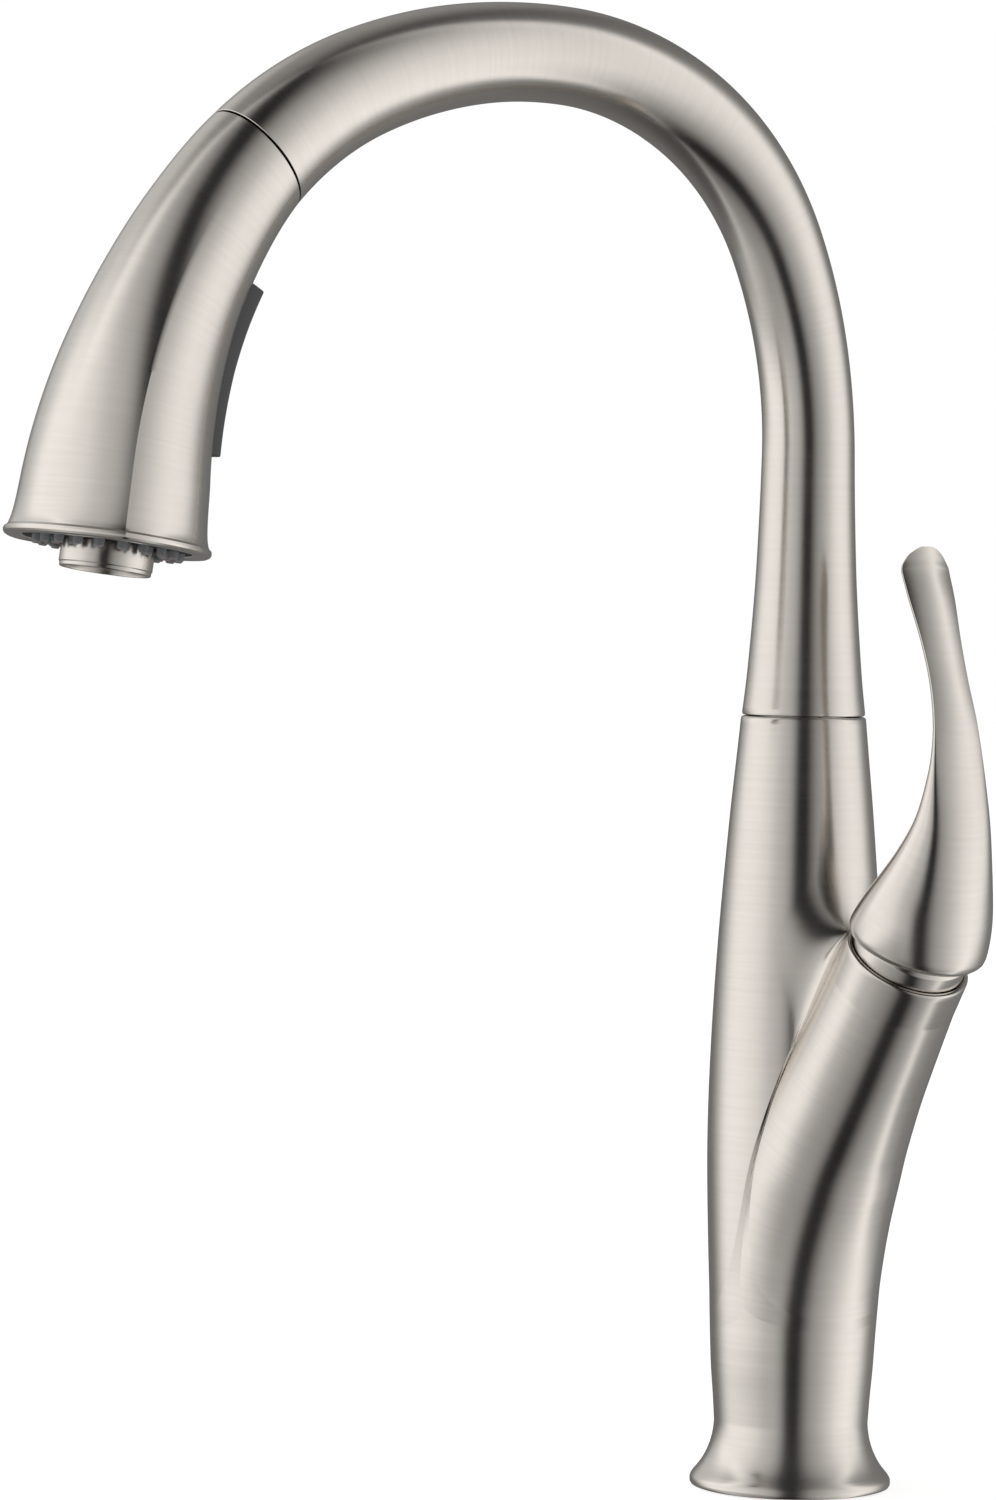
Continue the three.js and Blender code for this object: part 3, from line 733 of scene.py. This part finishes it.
with_grain("bonnet", rounded([
    (14.7, -1.7), (16.25, -1.7), (16.1, 4.4), (13.9, 8.4), (10.6, 8.4), (10.6, 7.2), (13.2, 7.2),
    (14.7, 5),
], 0.5), in_barrel, NICKEL, "body", ["bonnet_ring"])

inside = [(d, float(through(TUBE, d)) - TUBE_WALL) for d in np.linspace(HEAD_SEAM - GAP, 258, 110)]
outside = [
    (float(through(TUBE, d)), d) for d in np.linspace(SEAM_Z + 1.1, HEAD_SEAM - GAP - 0.12, 260)
]
end = float(through(TUBE, HEAD_SEAM - GAP))
spout_profile = [
    (11.7, 196), (13.1, 196), (13.1, 204), (12.5, 204), (12.5, 208), (13.1, 208), (13.1, SEAM_Z + GAP),
    (17.0, SEAM_Z + GAP), (17.35, SEAM_Z + GAP + 0.2),
] + outside + [(end - 0.12, HEAD_SEAM - GAP)] + [(r, d) for d, r in inside] + [(11.7, 251)]
with_grain(
    "spout_shell", spout_profile, lambda p: on_spout(skewed(p)), NICKEL, "spout",
    ["spout_tube"], 144, 30,
)

# ---------------------------------------------------------------- spray head

INNER_OFFSET = 0.17  # how far the section's two circles are off centre, as shares of the radius
OUTER_OFFSET = 0.45
SECTION_FULL = 640


def crease_turn():
    """The angle from the inner side where the section's two circles meet."""
    low, high = math.pi / 2, math.pi
    for _ in range(40):
        middle = (low + high) / 2
        a, b = section_circles(np.array([middle]))
        if a[0] < b[0]:
            low = middle
        else:
            high = middle
    return low


def section_circles(turn):
    """Radii of the two circles of the head's section at an angle, as shares of the plain radius."""
    def circle(offset, radius):
        return offset * np.cos(turn) + np.sqrt(radius**2 - (offset * np.sin(turn)) ** 2)
    return circle(-INNER_OFFSET, 1 + INNER_OFFSET), circle(OUTER_OFFSET, 1 + OUTER_OFFSET)


def creased(points):
    """Gives the head its two-circle section, more and more towards the outlet."""
    amount = smoothstep(points[:, 2], HEAD_SEAM + 6, SECTION_FULL)
    scale = 1 + amount * (np.minimum(*section_circles(np.arctan2(points[:, 1], points[:, 0]))) - 1)
    out = points.copy()
    out[:, :2] *= scale[:, None]
    return out


CREASE = crease_turn()
front = np.linspace(-CREASE, CREASE, 105)
back = np.linspace(CREASE, 2 * math.pi - CREASE, 73)[1:-1]
HEAD_ANGLES = np.concatenate([front, back])

distances = np.concatenate([
    np.linspace(HEAD_SEAM + GAP + 0.12, 656, 120), np.linspace(656.5, 664.6, 26),
])
head_profile = [(float(through(HEAD, HEAD_SEAM + GAP)) - 0.12, HEAD_SEAM + GAP)]
head_profile += [(float(through(HEAD, d)), d) for d in distances]
head_profile += [  # the rolled lip
    (26.45, 665.2), (26.6, 665.8), (26.5, 666.4), (26.15, 666.9), (25.6, 667.2), (25, 667.3),
    (24.2, 667.3), (23.2, 666.6), (22.75, 665.8), (22.6, 664.8),
]
head_profile += [
    (min(float(through(HEAD, d)), 24.6) - SHELL_WALL, d) for d in np.linspace(661, HEAD_SEAM + GAP, 40)
]


def block_on_head(start, stop, half_width, low, high, kink=0.0):
    """A block that follows the head's inner side, given its depths below the surface."""
    rows = np.linspace(start, stop, 41)
    middle, half = (start + stop) / 2, (stop - start) / 2
    points = []
    section = [(low, -1), (high, -1), (high, 1), (low, 1)]
    for d, r in zip(rows, through(HEAD, rows)):
        lift = kink * (abs(d - middle) / half - 0.5)
        for depth, side in section:
            points.append((r + depth + (lift if depth == high else 0), side * half_width, d))
    last = len(points) - 4
    ends = [(0, 1, 2, 3), (last + 3, last + 2, last + 1, last)]
    return np.array(points, float), grid_faces(len(rows), 4, wrap=False) + ends


def block_tool(*where):
    points, faces = block_on_head(*where)
    return tool(on_spout(points), faces)


def head_shell():
    """The spray head's outer shell, with the opening for its button."""
    points, faces = turned(head_profile, angles=HEAD_ANGLES)
    shell = tool(on_spout(skewed(creased(points))), faces)
    combine(shell, block_tool(
        BUTTON[0] - 2.6 - GAP, BUTTON[1] + 2.6 + GAP, BUTTON_HALF_WIDTH + 2 + GAP, -7, 8,
    ))
    shell.name = "head_body"
    set_grain(shell, straightened(vertices(shell.data)))
    return dress(shell, NICKEL, 24, "head", ["head_shell"])


def straightened(points):
    """Each point's place in the spout's own straight frame."""
    samples = np.linspace(SEAM_Z, OUTLET + 10, 1800)
    reach, height, angle = centreline(samples, BEND_START_Z, SPOUT_ARCS)
    r = -points[:, 1]
    out = np.zeros_like(points)
    for i, (a, b) in enumerate(zip(r, points[:, 2])):
        k = int(np.argmin((reach - a) ** 2 + (height - b) ** 2))
        x = (a - reach[k]) * math.cos(angle[k]) - (b - height[k]) * math.sin(angle[k])
        out[i] = (x, points[i, 0], samples[k])
    return out


head_shell()

points, faces = block_on_head(
    BUTTON[0] - 2.3, BUTTON[1] - 0.6, BUTTON_HALF_WIDTH, -4.6, BUTTON_PROUD - 0.3, kink=0.2,
)
button = new_object("rocker_button", on_spout(points), faces, BUTTON_LOOK, 40)
bevel = button.modifiers.new("bevel", "BEVEL")
bevel.width = 0.55 * MM
bevel.segments = 3
bevel.limit_method = "ANGLE"
bevel.angle_limit = math.radians(35)
apply_modifiers(button)
dress(button, BUTTON_LOOK, 40, "rocker", ["spray_button"])

bezel = block_tool(BUTTON[0] - 2.6, BUTTON[1] + 2.6, BUTTON_HALF_WIDTH + 2, -4.6, -3.0)
combine(bezel, block_tool(BUTTON[0] - 2.5, BUTTON[1] + 1, BUTTON_HALF_WIDTH + 0.4, -6, 2))
bezel.name = "bezel"
dress(bezel, PLASTIC, 30, "head", ["button_bezel"])

# ---------------------------------------------------------------- spray face

def face_radius(d):
    """The nozzle face's radius at a distance along the spout: just inside the shell."""
    return min(float(through(HEAD, d)), 24.6) - SHELL_WALL - GAP


points, faces = turned(rounded([
    (13, 656), (face_radius(656), 656), (face_radius(664), 664), (22, 665.6), (21.6, 666.7),
    (13, 666.7),
], 0.2), angles=HEAD_ANGLES)
new_object(
    "nozzle_face", on_spout(creased(points)), faces, FACE_LOOK, 32, "head", ["nozzle_plate"],
)


def joined(parts):
    """One mesh from several points and faces."""
    all_points, all_faces, count = [], [], 0
    for points, faces in parts:
        all_points.append(points)
        all_faces += [tuple(count + v for v in f) for f in faces]
        count += len(points)
    return np.concatenate(all_points), all_faces


nub_profile = [
    (0, -2.8), (1.5, -2.8), (1.42, -1), (1.25, 0.9), (1.15, 1.3), (0.9, 1.52), (0.5, 1.55), (0.42, 1.4),
    (0.4, 0.5), (0, 0.5),
]
nub_points, nub_faces = turned(nub_profile, 18)
parts = [turned(sleeve(13.6, 20.6, -3.4, -2.3, 0.3), 120)]
for radius, count in [(15.6, 14), (19, 20)]:
    for turn in np.arange(count) * 2 * math.pi / count:
        parts.append((nub_points + (radius * math.cos(turn), radius * math.sin(turn), 0), nub_faces))
points, faces = joined(parts)
new_object(
    "nozzle_nubs", in_outlet(points), faces, SILICONE, 40, "head", ["nozzle_mat"],
)

with_grain("aerator_ring", rounded([
    (10.4, -11.1), (12.4, -11.1), (12.4, 5.2), (12.15, 5.5), (12.15, 6.3), (11.9, 6.6), (10.8, 6.6),
    (10.8, 4.6), (10.4, 4.2),
], 0.15), in_outlet, NICKEL, "head", ["aerator_housing"], 120)


def aerator_mesh():
    """A disc of stacked screen wires with a rim, one lattice of square openings."""
    parts = [turned(sleeve(9.5, 10.1, 1, 3.4, 0.15), 96)]
    bar = 0.13
    sides = [(0, 1, 3, 2), (4, 6, 7, 5), (0, 4, 5, 1), (2, 3, 7, 6), (0, 2, 6, 4), (1, 5, 7, 3)]
    for axis in (0, 1):
        for offset in np.arange(-9, 9.1, 0.75):
            half = math.sqrt(max(9.7**2 - offset**2, 0))
            low = np.array([-half, offset - bar, 2.2 + 0.22 * axis])
            high = np.array([half, offset + bar, 2.42 + 0.22 * axis])
            corners = np.array([
                [(low, high)[i][0], (low, high)[j][1], (low, high)[k][2]]
                for i in (0, 1) for j in (0, 1) for k in (0, 1)
            ])
            parts.append((corners[:, [1, 0, 2]] if axis else corners, sides))
    return joined(parts)


points, faces = aerator_mesh()
new_object("aerator_lattice", in_outlet(points), faces, STEEL, 30, "head", ["aerator_screen"])

# ---------------------------------------------------------------- handle

HANDLE = np.array([  # x, z, lean, half depth, half width, squareness, corner angle, edge
    (54.3, 158.0, 25, 18.6, 18.6, 2.0, 40, 0), (55.8, 160.0, 25, 19.5, 19.5, 2.0, 40, 0),
    (59.5, 166.5, 24, 17.4, 19.0, 2.0, 40, 0), (63.4, 174.5, 22, 14.2, 17.1, 2.0, 43, 0.05),
    (67.1, 183.5, 18, 10.8, 14.5, 2.1, 49, 0.2), (70.0, 192.5, 13, 7.9, 11.8, 2.2, 60, 0.45),
    (71.3, 201.5, 7, 5.9, 9.8, 2.3, 74, 0.72), (71.7, 210.5, 1, 4.3, 8.3, 2.4, 86, 0.93),
    (70.5, 220.5, -8, 3.2, 7.1, 2.5, 90, 1), (67.3, 231.5, -16, 2.7, 6.3, 2.6, 90, 1),
    (63.3, 242.5, -20, 2.5, 6.6, 2.6, 90, 1), (59.1, 253.0, -23, 2.4, 7.6, 2.6, 90, 1),
    (56.2, 259.8, -24, 2.3, 7.9, 2.6, 90, 1), (55.5, 261.8, -24, 2.3, 7.8, 2.6, 90, 1),
    (55.0, 263.2, -24, 2.2, 7.0, 2.6, 90, 1), (54.6, 264.7, -24, 2.1, 5.7, 2.6, 90, 1),
    (54.2, 266.1, -24, 1.9, 3.9, 2.4, 90, 1), (54.0, 266.9, -24, 1.6, 1.9, 2.2, 90, 1),
])


TIP_Z = 261  # the handle's paddle rounds off above this


def handle_mesh(segments=144):
    """The lever's skin: rows of sections that turn from a round skirt into a flat paddle."""
    rows = np.arange(len(HANDLE), dtype=float)
    at = np.concatenate([
        [0, 0.25, 0.5, 0.75], np.linspace(1, 12, 133), np.linspace(12.1, 17, 40),
    ])
    x, z, lean, deep, wide, square, corner, edge = (
        through(np.stack([rows, HANDLE[:, i]], 1), at)[:, None] for i in range(HANDLE.shape[1])
    )
    front = np.linspace(-1, 1, segments * 5 // 12, endpoint=False)
    behind = np.linspace(0, 1, segments - len(front), endpoint=False)
    corner = np.radians(corner)
    turn = np.concatenate([
        corner * front, corner + (2 * math.pi - 2 * corner) * behind,
    ], 1)

    def section(angle):
        c, s = np.cos(angle), np.sin(angle)
        size = (np.abs(c) ** square + np.abs(s) ** square) ** (-1 / square)
        return c * size * deep, s * size * wide * (1 + 0.025 * edge)

    local_x, local_y = section(turn)
    corner_x, corner_y = section(corner)
    share = np.clip(local_y / corner_y, -1, 1)
    broad = np.where(z > TIP_Z, corner_y[np.argmin(np.abs(z - TIP_Z))], corner_y)
    bulge = 0.22 + 0.08 * smoothstep(z, 235, 255)
    flat = corner_x + bulge * (broad - (share * corner_y) ** 2 / broad)
    local_x = np.where(np.abs(turn) < corner, local_x + edge * (flat - local_x), local_x) + 0.25 * edge
    # The corners of the sections are softened at mid height, where the skirt turns into the paddle.
    softness = smoothstep(-z, -228, -192) * smoothstep(z, 170, 188)
    for _ in range(60):
        for local in (local_x, local_y):
            local += softness * (np.roll(local, 1, 1) / 4 + np.roll(local, -1, 1) / 4 - local / 2)
    lean = np.radians(lean)
    points = np.stack([
        x + local_x * np.cos(lean), local_y + 0 * x, z - local_x * np.sin(lean),
    ], 2)
    caps = [points[0].mean(0), points[-1].mean(0)]
    faces = grid_faces(len(points), segments, wrap=False)
    flat = np.concatenate([points.reshape(-1, 3), np.array(caps)])
    base, top = len(flat) - 2, len(flat) - 1
    last = base - segments
    for j in range(segments):
        k = (j + 1) % segments
        faces.append((base, k, j))
        faces.append((top, last + j, last + k))
    return flat, faces


def in_hollow(points):
    return in_lever(points + (1.2, 0, 0))


handle = tool(*handle_mesh())
hollow = rounded([(0, -10), (17.8, -10), (17.8, 10.8), (16, 13.8), (9, 16.8), (0, 16.8)], 1.0)
combine(handle, turned_tool(hollow, in_hollow, 120))
half = STEM / 2 + GAP
combine(handle, box_tool(half, half, GAP, STEM_TOP + GAP, in_lever))


def across_lever(points):
    """Turns a shape round +Z so that it lies across the lever at the set screw's height."""
    return in_lever(np.stack([points[:, 2], points[:, 1], 23.8 - points[:, 0]], 1))


combine(handle, turned_tool([(0, -30), (2.3, -30), (2.3, 0), (0, 0)], across_lever, 32))
handle.name = "lever_handle"
local = (vertices(handle.data) - pivot) @ np.array(Matrix.Rotation(LEVER_TILT, 3, "Y"))
set_grain(handle, local)
dress(handle, NICKEL, 22, "lever", ["handle_lever"])

# ---------------------------------------------------------------- fittings seen when the head is out

lathe("collar", [
    (10.2, 534), (13, 534), (13, 543), (13, 552.4), (10.9, 552.4), (10.2, 551.6), (10.2, 543),
], lambda p: on_spout(skewed(p)), PLASTIC, "spout", ["dock_collar"])
lathe("hose_sleeve", rounded([
    (3, -22), (6.9, -22), (7.2, -21.4), (7.2, -19), (6.9, -18.6), (6.9, -18), (7.2, -17.6), (7.2, -14),
    (3, -14),
], 0.15), in_dock, STEEL, "hose_end", ["hose_ferrule"])
lathe("nipple", rounded([
    (3, -1.7), (6.4, -1.7), (6.4, 0.4), (5.5, 0.4), (5.5, 5), (4.9, 5.4), (4.9, 7.6), (5.5, 8),
    (5.5, 14), (3, 14),
], 0.2), in_dock, BRASS, "hose_end", ["hose_nipple"])
points, faces = turned(rounded([(4, -13.7), (8.6, -13.7), (8.6, -2), (4, -2)], 0.5), 6)
new_object("union_nut", in_dock(points), faces, BRASS, 20, "hose_end", ["hose_nut"])

# ---------------------------------------------------------------- spray hose

HOSE_END = HEAD_SEAM - 24
HOSE_EXPOSED = HOSE_END - 14
HOSE_SPLIT = 240


def hose_length(name, rows):
    """A length of hose between distances along the spout's centreline."""
    profile = [(0, rows[0])] + [(HOSE_RADIUS, d) for d in rows] + [(0, rows[-1])]
    points, faces = turned(profile, 40)
    return grained(name, points, faces, on_spout)


# The length inside the column is a piece of its own, since a blend reaches every point beyond its end.
dress(
    hose_length("hose_in_column", np.linspace(LOWER_END_Z, HOSE_SPLIT, 60)),
    HOSE, 40, "spout", ["spray_hose"],
)
hose = hose_length("braided_hose", np.concatenate([
    np.linspace(HOSE_SPLIT, BEND_START_Z, 30), np.linspace(BEND_START_Z + 4, HOSE_EXPOSED - 1, 90),
    np.linspace(HOSE_EXPOSED, HOSE_END, 60),
]))
dress(hose, HOSE, 40, None, ["spray_hose"])
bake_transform(hose)

# ---------------------------------------------------------------- below the counter

def threaded(inner, outer, low, high, pitch, depth, segments=64):
    """Points and faces of a sleeve with a helical thread on its outside."""
    turns = np.arange(segments) * 2 * math.pi / segments
    rows = [(inner, low), (outer - depth, low)]
    for z in np.arange(low + 1, high - 1, pitch / 8):
        fade = max(min(1.0, (z - low - 1) / pitch, (high - 1 - z) / pitch), 0.0)
        phase = ((z - low) / pitch - turns / (2 * math.pi)) % 1
        rows.append((outer - depth * np.abs(2 * phase - 1) * fade, z))
    rows += [(outer - depth, high), (inner, high)]
    grid = [
        np.stack([r * np.cos(turns), r * np.sin(turns), np.full(segments, float(z))], 1)
        for r, z in rows
    ]
    return np.concatenate(grid), grid_faces(len(grid), segments, wrap=True)


points, faces = threaded(13.5, 16, LOWER_END_Z, 12, 1.5, 0.7)
new_object("threaded_shank", points, faces, BRASS, 50, "body", ["mounting_shank"])
for name, profile, look, slot, replaced in [
    ("foot_gasket", sleeve(20.8, 24.2, 0, 1.7, 0.25), RUBBER, "rubber", "base_gasket"),
    ("deck_rubber", sleeve(16.4, 27, -33, -30, 0.5), RUBBER, "rubber", "deck_seal_washer"),
    ("deck_washer", sleeve(16.4, 26, -35, -33.3, 0.25), STEEL, "steel", "deck_steel_washer"),
]:
    lathe(name, profile, as_is, look, "body", [replaced])

wing_nut = turned_tool(rounded([(0, -48), (24.5, -48), (24.5, -36), (0, -36)], 0.8), as_is)
for turn in (45, 135):
    spin = np.array(Matrix.Rotation(math.radians(turn), 3, "Z"))
    combine(wing_nut, box_tool(28, 4.5, -49.1, -40.1, lambda p: p @ spin.T), "UNION")
combine(wing_nut, turned_tool([(0, -60), (16.3, -60), (16.3, -30), (0, -30)], as_is))
for side in (1, -1):
    at_jack = np.array([side * JACK_X, 0, 0])
    jack_hole = [(0, -60), (2.8, -60), (2.8, -30), (0, -30)]
    combine(wing_nut, turned_tool(jack_hole, lambda p: p + at_jack, 32))
wing_nut.name = "wing_nut"
dress(wing_nut, BRASS, 30, "body", ["mounting_nut"])

for i, side in enumerate((1, -1)):
    at_jack = np.array([side * JACK_X, 0.0, 0.0])
    thread = [
        (2.4 - 0.35 * abs(2 * ((z / 0.8) % 1) - 1), z) for z in np.arange(-53.9, -35.6, 0.1)
    ]
    screw = turned_tool([(0, -54)] + thread + [(0, -35.3)], lambda p: p + at_jack, 32)
    hexagon = rounded([(0, -57), (4.2, -57), (4.2, -53), (0, -53)], 0.4)
    combine(screw, turned_tool(hexagon, lambda p: p + at_jack, 6), "UNION")
    screw.name = f"hex_jack_screw_{i + 1}"
    dress(screw, STEEL, 35, "body", [f"jack_screw_{i + 1}"])

# ---------------------------------------------------------------- kept CAD nodes

LOOKS = {
    "nickel": NICKEL, "steel": STEEL, "brass": BRASS, "copper": COPPER, "plastic": PLASTIC,
    "button": BUTTON_LOOK, "white": WHITE, "rubber": RUBBER, "silicone": SILICONE, "ceramic": CERAMIC,
    "hose": HOSE,
}
slots = {part["node"]: part["material_slot"] for part in frame["record"]["subparts"]}
for name, node in nodes.items():
    if not node.hide_render:
        node.data.materials.clear()
        node.data.materials.append(LOOKS[slots[name]])

# ---------------------------------------------------------------- floor, light and camera

FLOOR_HALF = 6000
FLOOR_Z = -0.3  # just under the flange
UNDER_COUNTER = -0.01  # metres: a piece that reaches below this is under the counter

floor = bare_object("floor", [
    (x * FLOOR_HALF, y * FLOOR_HALF, FLOOR_Z) for x, y in [(-1, -1), (1, -1), (1, 1), (-1, 1)]
], [(0, 1, 2, 3)])
floor.data.materials.append(new_material("pale_floor").set(
    Base_Color=(0.86, 0.86, 0.855, 1), Roughness=0.6,
    Emission_Color=(1, 1, 1, 1), Emission_Strength=0.72,
))
floor.visible_glossy = False

CAMERA_AZIMUTH = math.radians(-33)
# The studio round the object, in degrees to the right of the camera as seen from the object.
STUDIO = [  # degrees to the right, and brightness
    (-180, 0.15), (-152, 0.16), (-138, 0.2), (-127, 0.44), (-117, 0.82), (-106, 1.12), (-92, 1.16),
    (-76, 1.1), (-57, 0.95), (-42, 0.7), (-27, 0.56), (-18, 0.36), (-10, 0.02), (5, 0.0), (13, 0.17),
    (21, 0.34), (36, 0.5), (50, 0.7), (68, 1.0), (86, 1.14), (103, 1.04), (112, 0.8), (122, 0.46),
    (134, 0.24), (160, 0.17), (180, 0.15),
]
SKY = [  # sine of the elevation, and brightness
    (-1.0, 0.6), (-0.85, 0.92), (-0.6, 1.12), (-0.3, 1.1), (0.0, 1.0), (0.6, 1.0), (0.77, 0.88),
    (0.9, 0.6), (1.0, 0.4),
]
BRIGHTEST = 1.25  # the ramps hold brightness as a share of this
DIMMEST = 0.012
HIGH_LIGHTS = [  # degrees to the right, above the horizon and from middle to edge, and brightness
    (-134, 24, 34, 0.3), (-140, 42, 50, 0.18),
]
LOW_SHADE = (-78, -42, 62)  # degrees, as in HIGH_LIGHTS
LOW_SHADE_DEPTH = 0.47


def studio():
    """Light from all round: bright by direction and by height, with soft lights and one shade."""
    world = bpy.data.worlds.new("studio")
    bpy.context.scene.world = world
    n = Nodes(world)
    n.tree.nodes.clear()
    node, maths = n.node, n.maths

    direction = node("ShaderNodeTexCoord").outputs["Generated"]
    turned_to_camera = node(
        "ShaderNodeVectorRotate", {"Vector": direction, "Angle": -CAMERA_AZIMUTH},
        rotation_type="Z_AXIS",
    ).outputs[0]
    parts = node("ShaderNodeSeparateXYZ", {"Vector": turned_to_camera}).outputs

    # A direction's height counts as more of its way ahead, so the bands don't crowd near the top.
    ahead = maths("MULTIPLY", parts[0], parts[0])
    upright = maths("ADD", ahead, maths("MULTIPLY", parts[2], parts[2]))
    stretch = maths("POWER", maths("DIVIDE", upright, maths("ADD", ahead, 0.03)), 0.5)
    turn = maths("ARCTAN2", parts[1], maths("MULTIPLY", parts[0], stretch))

    def levels(value, stops, low, high):
        """Brightness from stops between low and high, by a value from 0 to 1."""
        ramp = node("ShaderNodeValToRGB", {"Fac": value})
        for i, (at, level) in enumerate(stops):
            position = (at - low) / (high - low)
            stop = ramp.color_ramp.elements[i] if i < 2 else ramp.color_ramp.elements.new(position)
            stop.position = position
            stop.color = (*[level / BRIGHTEST] * 3, 1)
        return ramp.outputs[0]

    around = levels(n.map_range(turn, -math.pi, math.pi), STUDIO, -180, 180)
    up = levels(n.map_range(parts[2], -1.0, 1.0), SKY, -1, 1)
    level = node(  # inputs 6 and 7 are the two colours
        "ShaderNodeMix", {"Factor": 1.0, 6: around, 7: up}, data_type="RGBA", blend_type="MULTIPLY",
    )

    def lobe(turn, rise, wide):
        """1 near a direction, falling to 0 at the given angle from it."""
        turn, rise, wide = math.radians(turn), math.radians(rise), math.radians(wide)
        middle = (math.cos(rise) * math.cos(turn), math.cos(rise) * math.sin(turn), math.sin(rise))
        near = node(
            "ShaderNodeVectorMath", {0: turned_to_camera, 1: middle}, operation="DOT_PRODUCT",
        ).outputs["Value"]
        return n.map_range(near, math.cos(wide), math.cos(wide * 0.4), curve="SMOOTHSTEP")

    bright = node("ShaderNodeRGBToBW", {"Color": level.outputs[2]}).outputs[0]
    for *where, strength in HIGH_LIGHTS:
        bright = maths("ADD", bright, maths("MULTIPLY", lobe(*where), strength / BRIGHTEST**2))
    below = n.map_range(parts[2], -0.12, -0.38, curve="SMOOTHSTEP")
    shade = maths("MULTIPLY", maths("MULTIPLY", lobe(*LOW_SHADE), below), LOW_SHADE_DEPTH)
    bright = maths("MULTIPLY", bright, maths("SUBTRACT", 1.0, shade))
    bright = maths("ADD", maths("MULTIPLY", bright, BRIGHTEST**2), DIMMEST)
    light = node("ShaderNodeBackground", {"Color": (1, 1, 1, 1), "Strength": bright})
    backdrop = node("ShaderNodeBackground", {"Color": (1, 1, 1, 1), "Strength": 1.0})
    seen = node("ShaderNodeLightPath").outputs["Is Camera Ray"]
    mix = node("ShaderNodeMixShader", {0: seen, 1: light.outputs[0], 2: backdrop.outputs[0]})
    node("ShaderNodeOutputWorld", {"Surface": mix.outputs[0]})


studio()

camera_data = bpy.data.cameras.new("camera")
camera_data.lens = 136.8
camera_data.sensor_width = 36
camera = bpy.data.objects.new("camera", camera_data)
bpy.context.scene.collection.objects.link(camera)
camera.location = (1.310878, -0.954622, 0.263871)
camera.rotation_euler = [math.radians(turn) for turn in (88.0340, -0.9411, 57.0323)]
bpy.context.scene.camera = camera
bpy.context.scene.view_settings.view_transform = "Standard"

for piece in bpy.context.scene.objects:  # what is under the counter isn't mirrored above it
    if piece.type == "MESH" and piece is not body:
        if min(corner[2] for corner in piece.bound_box) < UNDER_COUNTER:
            piece.visible_glossy = False
